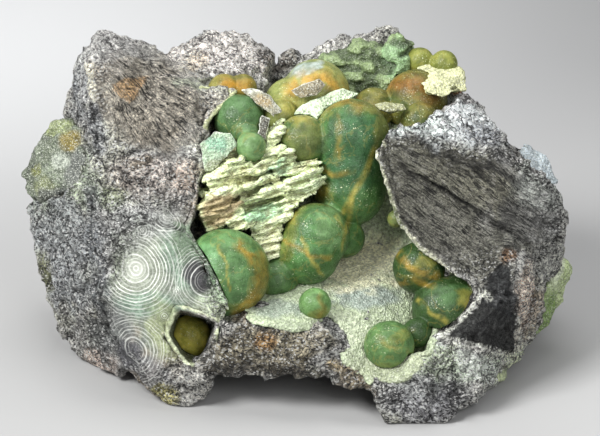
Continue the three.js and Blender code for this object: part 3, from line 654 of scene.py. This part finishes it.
def rock_rings(s, colour, rock_points):
    for across, down, reach, spacing, clear, strength, side in RINGS:
        centre = surface_point(rock_points, across, down)
        wobbled = s.calc("ADD", s.distance(centre), s.times(s.noise(2.6, 3), 0.55))
        inside = s.between(s.along(centre, side), -3.4, -1.2)
        inside = s.times(s.between(wobbled, reach, reach * 0.72), inside)
        base = colour
        if clear:
            inside = s.times(inside, s.between(wobbled, clear * 0.7, clear))
        else:
            heart = s.between(wobbled, reach * 0.35, reach * 0.05, 0.0, 0.5 * strength)
            base = s.mix(heart, colour, srgb(224, 227, 214))
        ringed = s.mix(ring_lines(s, wobbled, spacing), base, srgb(246, 248, 240))
        colour = s.mix(s.times(inside, strength), colour, ringed)
    return colour


def rock_material(rock_points):
    s = Surface("broken rock", IOR=1.5)
    tint = s.mark("tint", "Color")
    grained = s.mark("grained")
    smooth = s.mark("banded")
    place = s.mark("grain", "Vector")
    loose = s.calc("SUBTRACT", 1.0, s.calc("MAXIMUM", grained, s.times(smooth, 0.85)))
    flow = s.swirl(4.5, 2.4)
    shards = s.swirl(1.6, 2.2)
    value, colour = rock_grit(s, tint, grained, smooth, flow)
    colour = rock_flecks(s, colour, tint, loose, flow)
    groove, colour = rock_streaks(s, colour, grained, place)
    opening, colour = rock_openings(s, colour, loose, shards, grained, place)
    colour = rock_rings(s, colour, rock_points)
    rigid = s.blend(smooth, 1.0, 0.3)
    s.bump(s.calc("SUBTRACT", value, opening), 0.5, rigid)
    s.bump(s.noise(1.1, 5, rough=0.75), 1.0, s.times(rigid, s.blend(grained, 1.0, 0.3)))
    s.bump(groove, 0.6, s.times(grained, 0.5))
    s.bump(s.grey(s.cells(2.7, "Color", place=shards)), 0.9, s.times(loose, 0.8))
    return s.done(colour, s.between(s.noise(0.25, 2), 0.55, 0.7, 0.9, 0.5))


def surface_point(points, across, down):
    """The rock's nearest point to the eye at a sheet position."""
    close = points[np.linalg.norm(on_sheet(points) - (across, down), axis=1) < 4]
    return close[np.argmin((close - EYE) @ FORWARD)]


def wear_rock(mesh, tint, grain, grained, banded):
    keep_tint(mesh, tint)
    keep(mesh, "grain", "FLOAT_VECTOR", "vector", grain)
    keep(mesh, "grained", "FLOAT", "value", grained)
    keep(mesh, "banded", "FLOAT", "value", banded)


def make_rock():
    piece = fresh_mesh("rock", "matrix", ROCK_VOXEL)
    mesh = piece.data
    points = relax(mesh, points_of(mesh), 2)
    points = relax(mesh, meet_linings(points), 1)
    move_points(mesh, points)
    normals = normals_of(mesh)
    relief, fine, crack, grain, grained, banded = rock_relief(points, normals)
    standing = step(0.2, 2.5, points[:, 2])
    moved = points + normals * (relief * standing + 0.25)[:, None]
    settle(mesh, moved)
    wear_rock(mesh, rock_colours(points, normals, fine, crack), grain, grained, banded)
    material = rock_material(moved)
    finish_piece(piece, "matrix", material)
    return material


def make_lip(name, node, colour, material, inside, width, swell):
    """A lining whose edge alone is pale. Away from the hollow it is rock."""
    piece, points, normals = start_piece(name, node, CRUST_VOXEL, 2)
    _, fine, crack, grain, grained, banded = rock_relief(points, normals)
    inward = np.array(inside) - points
    inner = (normals * inward).sum(1) > 0.5 * np.linalg.norm(inward, axis=1)
    away = nearest(points, points[inner])[1]
    deep = nearest(points, points[~inner])[1]
    wobble = 0.25 * noise(points, 1.2, 155)
    pale = step(width + 0.3, width, away + wobble)
    rim = step(width + 0.5, width + 0.1, deep + wobble)
    lining = over(srgb(104, 112, 78), colour, rim) * (1 + 0.3 * layered(points, 1.1, 156, 3)[:, None])
    tint = rock_colours(points, normals, fine, crack) * (1 - pale[:, None]) + lining * pale[:, None]
    grow = swell * step(0.1, 0.9, away) + 0.2 * layered(points, 1.6, 120, 3)
    settle(piece.data, points + normals * grow[:, None])
    wear_rock(piece.data, tint, grain, grained * (1 - pale), np.maximum(banded, pale * 0.8))
    finish_piece(piece, node, material)


# The pale crystal crust
CRUST_VOXEL = 0.45
CRUST_MARKS = [
    (366, 298, 32, 11, 0, (136, 148, 148), 0.75), (276, 310, 28, 9, 0, (128, 140, 134), 0.7),
    (346, 290, 12, 3, -10, (92, 102, 96), 0.7), (378, 288, 10, 3, 20, (96, 106, 104), 0.7),
    (356, 258, 48, 30, 0, (232, 228, 194), 0.95), (344, 330, 36, 16, 20, (206, 214, 186), 0.6),
    (392, 366, 48, 20, 10, (158, 164, 136), 0.75), (356, 346, 18, 16, 40, (170, 178, 152), 0.5),
]


def crust_material(name, low, high, speck):
    s = Surface(name, IOR=1.5)
    tint = s.mark("tint", "Color")
    grain = s.blend(0.4, s.noise(0.5, 4, rough=0.8), s.grey(s.cells(0.5, "Color")))
    colour = s.mix(s.between(grain, 0.34, 0.66), s.tinted(tint, low), s.tinted(tint, high))
    # White specks: partly white crystals, partly painted glints.
    white = s.calc("GREATER_THAN", s.noise(0.3, 1), 0.6)
    colour = s.mix(s.times(white, speck), colour, srgb(238, 240, 228))
    s.bump(s.cells(0.5), 0.35, 0.9)
    s.bump(s.noise(0.3, 3), 0.16, 0.7)
    return s.done(colour, s.between(s.noise(0.22, 1), 0.5, 0.7, 0.65, 0.2))


def make_crust(name, node, colour, material, swell, marks, rugged=0.0):
    piece, points, normals = start_piece(name, node, CRUST_VOXEL, 2)
    relief = 0.2 * layered(points, 1.6, 120, 3) + 0.22 * chips(points, 1.3, 130)
    relief = relief + rugged * (chips(points, 4.0, 132) + 0.6 * noise(points, 3.0, 134))
    facing = step(-0.2, 0.3, -(normals @ FORWARD))
    # Painted shade and highlight: the crust is lighter where its relief stands out and darker where it sinks.
    base = shaded(colour, 0.16 * layered(points, 7, 140, 3)) * (1 + 0.5 * relief[:, None])
    tint = paint(base, on_sheet(points), layered(points, 3, 150, 3), marks, facing)
    settle(piece.data, points + normals * (relief + swell)[:, None])
    keep_tint(piece.data, tint)
    finish_piece(piece, node, material)


# The balls: the solid's colour, and each ball's place across, down and in depth, and its radius.
# The depth is in millimetres and the rest in sheet units.
BALL_VOXEL = 0.38
BALLS = {
    "ball_column": ((68, 104, 54), [
        (352, 137, 4, 38), (351, 164, 2.5, 36.5), (350, 190, 1, 36), (302, 140, 2, 25), (316, 236, -9, 33),
        (308, 254, -11, 31), (276, 280, -14, 22), (345, 238, -4, 20),
    ]),
    "ball_left": ((86, 124, 72), [(226, 273, -19, 43.5)]),
    # ball_in_window's colour is lighter than its own as painted light, lifting the shade of its deep window.
    "ball_in_window": ((192, 186, 84), [(190, 336, -16, 21)]),
    "ball_on_floor": ((98, 134, 78), [(315, 304, -25, 16)]),
    "ball_front_right": ((84, 118, 66), [(389, 346, -29, 25)]),
    "ball_cluster_right": ((48, 74, 34), [
        (419, 268, -13, 26), (443, 309, -18, 31), (458, 301, -15, 27), (417, 333, -24, 15),
    ]),
    "ball_pair_left": ((78, 110, 66), [(239, 119, 5, 25), (251, 147, -4, 15), (246, 135, 0, 13)]),
    "balls_back_left": ((140, 148, 84), [(316, 93, 18, 34), (291, 104, 15, 27), (280, 116, 8, 18)]),
    "balls_back_right": ((104, 104, 48), [(416, 101, 20, 32), (374, 108, 18, 21), (420, 122, 10, 20)]),
    "balls_top_right": ((128, 134, 62), [(420, 61, 27, 14), (444, 64, 25, 14)]),
    "balls_under_mound": ((124, 120, 58), [(224, 90, 11, 16), (243, 88, 12, 14)]),
    "ball_under_slab": ((96, 108, 58), [(396, 219, -6, 9)]),
}
ORANGE = (150, 122, 42)
YELLOW = (158, 148, 66)
# Bands on the balls: colour, half-width on the sheet, strength, and the line they follow.
BANDS = [
    (ORANGE, 4.5, 0.85, [(238, 244), (252, 256), (257, 272), (253, 298), (236, 314)]),
    (YELLOW, 1.4, 0.8, [(218, 246), (226, 262), (231, 290)]),
    (YELLOW, 2.2, 0.6, [(214, 300), (228, 308), (244, 306)]),
    (ORANGE, 3.5, 0.6, [(262, 252), (266, 276), (258, 296)]),
    (ORANGE, 8, 0.6, [(288, 214), (302, 196), (322, 192)]),
    (YELLOW, 1.8, 0.75, [(302, 238), (308, 252), (322, 276)]),
    (ORANGE, 2.2, 0.6, [(283, 240), (296, 246), (312, 256), (330, 258)]),
    (YELLOW, 1.8, 0.6, [(336, 216), (344, 232), (342, 250)]),
    (ORANGE, 7, 0.65, [(330, 104), (342, 98), (356, 106)]),
    (ORANGE, 3.5, 0.6, [(336, 118), (341, 140), (336, 162)]),
    (YELLOW, 2.6, 0.75, [(375, 148), (366, 172), (352, 196), (344, 212)]),
    (YELLOW, 4, 0.7, [(382, 104), (392, 112), (392, 124)]),
    (YELLOW, 2.0, 0.7, [(352, 198), (350, 214), (346, 232)]),
    (ORANGE, 2.4, 0.6, [(320, 168), (334, 176), (352, 172)]),
    (ORANGE, 3.2, 0.75, [(396, 250), (404, 262), (418, 272), (436, 276)]),
    (ORANGE, 3.0, 0.7, [(400, 284), (414, 280), (432, 286)]),
    (YELLOW, 3.0, 0.75, [(470, 300), (466, 318), (452, 334)]),
    (YELLOW, 2.0, 0.7, [(418, 300), (430, 312), (448, 322)]),
    (ORANGE, 3.0, 0.35, [(378, 338), (392, 348), (406, 352)]),
    (ORANGE, 2.5, 0.5, [(320, 296), (324, 308), (318, 318)]),
    ((176, 130, 40), 8, 0.75, [(292, 90), (304, 80), (322, 78), (342, 92)]),
    (YELLOW, 8, 0.7, [(286, 104), (300, 116), (318, 110)]),
    ((138, 88, 32), 9, 0.7, [(394, 84), (412, 84), (432, 96)]),
    ((70, 92, 46), 8, 0.7, [(392, 98), (404, 110), (424, 122)]),
    ((176, 126, 30), 6, 0.75, [(226, 84), (236, 84), (246, 86)]),
    (YELLOW, 3, 0.6, [(178, 330), (192, 338), (200, 350)]),
]
BALL_MARKS = [
    (306, 68, 17, 6, -20, (184, 198, 200), 0.75), (316, 236, 30, 26, 0, (74, 116, 62), 0.75),
    (296, 108, 18, 14, 20, (168, 170, 96), 0.6), (276, 280, 20, 20, 0, (86, 116, 70), 0.6),
    (302, 141, 24, 24, 0, (112, 110, 58), 0.55), (352, 150, 30, 44, 10, (50, 90, 60), 0.6),
    (372, 108, 16, 8, 0, (126, 118, 54), 0.6), (330, 226, 14, 20, 0, (132, 164, 110), 0.4),
    (251, 146, 15, 14, 0, (116, 150, 96), 0.85), (452, 296, 20, 12, 0, (90, 126, 78), 0.5),
    (290, 238, 7, 24, 10, (122, 124, 52), 0.55), (262, 284, 7, 16, 0, (116, 120, 58), 0.5),
    (252, 304, 12, 10, -30, (140, 124, 50), 0.55), (206, 262, 12, 18, 0, (104, 152, 100), 0.45),
    (384, 122, 8, 24, 10, (128, 126, 56), 0.5), (467, 300, 9, 12, -40, (146, 138, 54), 0.6),
    (426, 262, 16, 6, -20, (138, 132, 54), 0.45), (398, 338, 14, 6, -30, (138, 138, 66), 0.4),
    (384, 366, 17, 5, 0, (112, 120, 56), 0.5), (318, 314, 10, 5, 0, (138, 136, 60), 0.5),
]
# The smoothing where balls meet, in millimetres
BALL_FILLET = 0.4


def ball_field(points, spheres):
    """The distance to the joined balls' surface, and the way out of it."""
    far = []
    ways = []
    for across, down, depth, radius in spheres:
        away = points - seen(across, down, depth)
        length = np.linalg.norm(away, axis=1)
        far.append(length - radius * MM_PER_UNIT)
        ways.append(away / np.maximum(length, 1e-6)[:, None])
    far = np.stack(far)
    least = far.min(0)
    weights = np.exp(-(far - least) / BALL_FILLET)
    total = weights.sum(0)
    field = least - BALL_FILLET * np.log(total)
    way = sum(w[:, None] * d for w, d in zip(weights / total, ways))
    return field, way


def ball_material():
    s = Surface("ball", IOR=1.45, Subsurface_Weight=0.12, Subsurface_Radius=(0.6, 1.0, 0.45),
                Subsurface_Scale=1.2 * MM)
    tint = s.mark("tint", "Color")
    cloud = s.between(s.noise(2.2, 4, rough=0.6), 0.3, 0.7)
    colour = s.tinted(tint, s.mix(cloud, (0.6, 0.64, 0.56), (1.36, 1.32, 1.4)))
    vein = s.between(s.from_middle(s.noise(7.5, 3, warp=0.6), 0.5), 0.018, 0.006)
    colour = s.mix(s.times(vein, 0.16), colour, srgb(176, 158, 78))
    # Sparse pale dots, most in patches: painted glints.
    painted_glints = s.times(s.between(s.noise(0.28, 0), 0.72, 0.78), s.between(s.noise(5.0, 2), 0.5, 0.62), 0.75)
    colour = s.mix(painted_glints, colour, srgb(226, 232, 190))
    s.bump(s.cells(0.4), 0.09, 0.8)
    s.bump(s.noise(1.3, 4, rough=0.7), 0.22, 0.6)
    return s.done(colour, s.between(s.noise(0.3, 2), 0.45, 0.66, 0.55, 0.2))


def ball_tint(green, points, normals):
    uv = on_sheet(points)
    facing = step(-0.15, 0.25, -(normals @ FORWARD))
    wobble = layered(points, 2.4, 170, 3, 0.6)
    tint = shaded(green, 0.12 * layered(points, 6, 175, 2))
    tint = paint(tint, uv, wobble, BALL_MARKS, facing)
    for colour, half, strength, line in BANDS:
        edge = near_line(uv + columns(wobble, -wobble) * 1.6, line)
        band = step(half * 1.9, half * 0.2, edge + wobble * half * 0.4)
        tint = over(tint, colour, band * strength * facing * step(-1.1, 0.5, wobble + 0.2))
    return tint


def make_balls(node, green, spheres, material):
    piece = fresh_mesh(node + "_grown", node, BALL_VOXEL)
    mesh = piece.data
    points = points_of(mesh)
    field, way = ball_field(points, spheres)
    rounded = step(-1.6, -0.7, field)
    points = points - way * (np.clip(field, -1.0, 1.0) * rounded)[:, None]
    points = relax(mesh, points, 1)
    field, way = ball_field(points, spheres)
    points = points - way * (np.clip(field, -1.0, 1.0) * rounded * 0.8)[:, None]
    move_points(mesh, points)
    normals = normals_of(mesh)
    swell = 0.07 * noise(points, 2.6, 160) + 0.03 * noise(points, 1.0, 161)
    move_points(mesh, points + normals * swell[:, None])
    keep_tint(mesh, ball_tint(green, points, normals))
    finish_piece(piece, node, material)


# The blades: thin plates that lean by BLADE_LEAN degrees and break off along ragged front edges
BLADE_VOXEL = 0.3
BLADE_LEAN = -17
BLADE_MARKS = [
    (286, 165, 18, 8, -20, (166, 212, 184), 0.8), (262, 212, 22, 9, -15, (166, 212, 180), 0.85),
    (312, 182, 24, 10, -32, (200, 216, 180), 0.7), (300, 158, 20, 10, -30, (196, 198, 150), 0.6),
    (218, 209, 24, 16, -30, (172, 148, 116), 0.85), (240, 178, 16, 8, -15, (190, 188, 140), 0.6),
    (236, 150, 30, 8, -20, (204, 206, 158), 0.6), (270, 246, 12, 22, 0, (222, 222, 196), 0.6),
]


def blade_place(uv, depth):
    """Sheet coordinates along the plates and across them, bent a little."""
    along, across = turned(uv, BLADE_LEAN)
    return along, across + 2.5 * noise(columns(along / 30, across / 30, depth / 20), 1.0, 200)


def plates(along, across, depth, seed):
    """Crisp plates, from -1 for those that lie back to 1 for those that stand out."""
    return step(-0.2, 0.2, noise(columns(along, across, depth / 30), 1.0, seed)) * 2 - 1


def blade_material():
    s = Surface("blades", IOR=1.5)
    tint = s.mark("tint", "Color")
    place = s.mark("grain", "Vector")
    sheets = s.noise(1.0, 4, place=s.divide(place, (4.5, 0.6, 3.0)), rough=0.62, warp=0.15)
    colour = s.tinted(tint, s.mix(s.between(sheets, 0.38, 0.5), (0.78, 0.77, 0.62), (1.24, 1.26, 1.22)))
    # Painted shade: the splits between the sheets are darkened brown.
    split = s.between(s.from_middle(sheets, 0.53), 0.05, 0.015)
    colour = s.mix(s.times(split, 0.6), colour, srgb(96, 80, 52))
    grit = s.between(s.noise(0.5, 4, rough=0.75), 0.35, 0.65)
    colour = s.tinted(colour, s.mix(grit, (0.8, 0.8, 0.74), (1.4, 1.42, 1.4)))
    s.bump(s.noise(0.5, 4), 0.3, 0.8)
    s.bump(sheets, 1.4, 0.9)
    return s.done(colour, s.between(s.noise(0.3, 1), 0.5, 0.7, 0.8, 0.45))


def make_blades():
    piece, points, normals = start_piece("blades", "blade_stack", BLADE_VOXEL, 1)
    uv = on_sheet(points)
    depth = points[:, 1]
    along, across = blade_place(uv, depth)
    leaf = plates(along / 26, across / 3.6, depth, 210)
    fine_leaf = plates(along / 15, across / 1.9, depth, 220)
    ragged = layered(points, 1.4, 230, 2)
    out = 0.5 * leaf + 0.34 * fine_leaf + 0.34 * ragged
    front = step(0.1, 0.6, -normals[:, 1])
    side = step(0.75, 0.2, np.abs(normals[:, 1]))
    ends = 0.12 * ragged + 0.6 * leaf * side
    forward = np.array([0, -1.0, 0.15]) * (out * front)[:, None]
    move_points(piece.data, points + forward + normals * ends[:, None])
    tint = shaded((228, 238, 200), 0.2 * layered(points, 4, 240, 2))
    tint = paint(tint, uv, ragged, BLADE_MARKS)
    # Painted shade: the plates that lie back are darkened, as in the recesses between them.
    keep_tint(piece.data, over(tint, (136, 124, 88), step(0.0, -0.75, out) * 0.45))
    place = columns(along * MM_PER_UNIT, across * MM_PER_UNIT, depth)
    keep(piece.data, "grain", "FLOAT_VECTOR", "vector", place)
    finish_piece(piece, "blade_stack", blade_material())


# The flakes: their colours, and those that have a pale rim
FLAKE_VOXEL = 0.28
FLAKES = {
    "flake_pale_top": (206, 224, 190), "flake_yellow_back": (206, 208, 162),
    "flake_grey_rim": (142, 134, 112), "flake_grey_left": (150, 148, 128), "flake_dark_left": (84, 82, 72),
    "flake_mint_left": (154, 176, 148), "flake_cream_ledge": (166, 168, 128),
}
RIMMED = ("flake_grey_rim", "flake_grey_left", "flake_dark_left", "flake_mint_left")
FLAKE_MARKS = [
    (216, 144, 11, 9, 0, (122, 176, 150), 0.6), (214, 166, 12, 8, -30, (140, 140, 108), 0.6),
    (304, 90, 8, 6, -20, (120, 110, 80), 0.6), (262, 100, 10, 6, 30, (158, 130, 80), 0.6),
]


def make_flake(node, colour, material):
    piece, points, normals = start_piece(node + "_broken", node, FLAKE_VOXEL, 1)
    ridges = 0.0
    if node == "flake_yellow_back":
        ridges = 0.55 * noise(points / (6.0, 6.0, 0.9), 1.0, 250)
    relief = 0.16 * layered(points, 1.6, 255, 3) + 0.2 * chips(points, 1.5, 260) + ridges
    move_points(piece.data, points + normals * relief[:, None])
    # Painted shade and highlight: the flake is lighter where its relief stands out and darker where it sinks.
    tint = shaded(colour, 0.14 * layered(points, 2.5, 265, 2) + 0.5 * relief)
    if node in RIMMED:
        rim = step(0.75, 0.45, -(normals @ FORWARD) + 0.2 * noise(points, 0.9, 272))
        tint = over(tint, (228, 230, 220), rim)
    keep_tint(piece.data, paint(tint, on_sheet(points), layered(points, 2, 270, 2), FLAKE_MARKS))
    finish_piece(piece, node, material)


LEDGE_VOXEL = 0.36
LEDGE_MARKS = [(396, 58, 14, 20, 0, (150, 186, 140), 0.7)]


def make_back_druse(material):
    piece, points, normals = start_piece("back_ledges", "back_druse", LEDGE_VOXEL, 1)
    shelf = noise(points / (4, 8, 1.15), 1.0, 300)
    lumps = layered(points, 1.5, 310, 2)
    out = 0.85 * step(-0.25, 0.25, shelf) * 1.6 - 0.7 + 0.35 * lumps
    move_points(piece.data, points + (normals + np.array([0, -0.5, 0])) * (out * 0.8)[:, None])
    tint = shaded((134, 152, 108), 0.16 * layered(points, 3, 320, 2))
    tint = paint(tint, on_sheet(points), lumps, LEDGE_MARKS)
    # Painted shade: the ledges that lie back are darkened to a deep green.
    keep_tint(piece.data, over(tint, (52, 66, 40), step(0.15, -0.6, out) * 0.8))
    finish_piece(piece, "back_druse", material)


# The stage, and the lights: name, place, size and power
STAGE_HALF = 1800.0
STAGE_GAP = 0.05
LIGHTS = [
    ("key", (-430, -300, 540), (340, 260), 7.0), ("fill", (240, -560, 400), (420, 340), 2.0),
    ("top", (40, 160, 640), (420, 300), 1.9),
]
LIT_POINT = Vector((0, 0, 30)) * MM


def make_stage():
    """One flat sheet under the specimen, with painted light: lighter at the back left than at the right, and
    at the front lighter on the right, where the specimen's shadow falls.
    """
    s = Surface("table", Roughness=0.65)
    x, y, _ = s.node("SeparateXYZ", {0: s.place})
    back = s.mix(s.between(x, -80, 110), (0.67, 0.675, 0.675), (0.31, 0.311, 0.31))
    front = s.mix(s.between(x, 15, 85), (0.4, 0.4, 0.395), (0.47, 0.47, 0.465))
    colour = s.mix(s.between(y, 20, 190), front, back)
    colour = s.mix(s.times(s.noise(60, 3), 0.1), colour, (0.5, 0.5, 0.5))
    corners = ((-1, -1), (1, -1), (1, 1), (-1, 1))
    verts = [(x * STAGE_HALF * MM, y * STAGE_HALF * MM, -STAGE_GAP * MM) for x, y in corners]
    mesh = bpy.data.meshes.new("table")
    mesh.from_pydata(verts, [], [(0, 1, 2, 3)])
    mesh.materials.append(s.done(colour))
    floor = put("table", mesh)


def area_light(name, place, size, power):
    light = bpy.data.lights.new(name, "AREA")
    light.shape = "RECTANGLE"
    light.size, light.size_y = size[0] * MM, size[1] * MM
    light.energy = power
    lamp = put(name, light)
    lamp.location = Vector(place) * MM
    lamp.rotation_euler = (LIT_POINT - lamp.location).to_track_quat("-Z", "Y").to_euler()


def make_lights():
    bpy.context.scene.view_settings.view_transform = "Standard"
    for light in LIGHTS:
        area_light(*light)
    world = bpy.data.worlds.new("room")
    world.use_nodes = True
    background = world.node_tree.nodes["Background"]
    background.inputs["Color"].default_value = (0.93, 0.95, 1.0, 1)
    background.inputs["Strength"].default_value = 0.24
    bpy.context.scene.world = world


def make_camera():
    data = bpy.data.cameras.new("camera")
    data.sensor_width = 36
    data.lens = data.sensor_width * EYE_DISTANCE / (2 * SHEET_CENTRE[0] * MM_PER_UNIT)
    camera = put("camera", data)
    camera.location = Vector(EYE * MM)
    camera.rotation_euler = Vector(FORWARD).to_track_quat("-Z", "Y").to_euler()
    bpy.context.scene.camera = camera


# The linings' lips: name, node, colour, a point in the hollow, width of the pale edge, swell
VUG_EYE = (8.7, -25.0, 40.0)
WINDOW_EYE = seen(192, 340, -16)
LIPS = [
    ("crust_edge_left", "crust_left_wall", (196, 204, 168), VUG_EYE, 0.5, 0.1),
    ("crust_edge_window", "crust_window", (142, 148, 100), WINDOW_EYE, 0.1, 0.0),
    ("crust_edge_slab", "crust_slab_edge", (210, 210, 186), VUG_EYE, 0.1, 0.1),
    ("crust_edge_upper", "crust_upper_left", (190, 196, 150), VUG_EYE, 0.45, 0.3),
]
# Crust on the outside of the rock: name, node, colour, ruggedness, marks
EDGE_CRUSTS = [
    ("edge_left_shoulder", "crust_left_shoulder", (95, 102, 87), 1.2, [
        (72, 141, 11, 10, 0, (128, 112, 46), 0.85), (38, 171, 6, 7, 0, (104, 108, 50), 0.8),
        (46, 188, 14, 12, -30, (120, 126, 84), 0.7), (78, 172, 12, 26, 10, (104, 106, 104), 0.75),
        (62, 197, 34, 9, 0, (86, 88, 88), 0.8), (62, 162, 8, 8, 0, (172, 178, 166), 0.7),
        (50, 150, 5, 18, 20, (96, 104, 84), 0.6), (56, 128, 16, 7, 0, (150, 160, 110), 0.7),
    ]),
    ("edge_left_foot", "crust_left_foot", (186, 176, 158), 0.6, []),
    ("edge_right_upper", "crust_right_upper", (188, 198, 204), 0.6, []),
    ("edge_right_side", "crust_right_edge", (164, 178, 130), 0.6, [
        (546, 312, 9, 24, 12, (104, 132, 62), 0.85), (552, 262, 10, 24, 0, (196, 202, 180), 0.8),
    ]),
    ("edge_right_foot", "crust_right_foot", (184, 194, 154), 0.6, []),
]

make_camera()
make_stage()
make_lights()
rocky = make_rock()
pale = crust_material("pale crust", (0.64, 0.65, 0.62), (1.32, 1.32, 1.3), 0.4)
make_crust("crust_floor", "vug_crust", (180, 192, 160), pale, 0.1, CRUST_MARKS)
for name, node, colour, inside, width, swell in LIPS:
    make_lip(name, node, colour, rocky, inside, width, swell)
green_edge = crust_material("edge crust", (0.55, 0.57, 0.55), (1.4, 1.4, 1.38), 0.45)
for name, node, colour, rugged, marks in EDGE_CRUSTS:
    make_crust(name, node, colour, green_edge, 0.35, marks, rugged)
glossy = ball_material()
for node, (green, spheres) in BALLS.items():
    make_balls(node, green, spheres, glossy)
make_blades()
flaky = crust_material("flake", (0.6, 0.6, 0.57), (1.35, 1.35, 1.32), 0.45)
for node, colour in FLAKES.items():
    make_flake(node, colour, flaky)
make_back_druse(crust_material("green druse", (0.66, 0.68, 0.62), (1.3, 1.3, 1.26), 0.2))
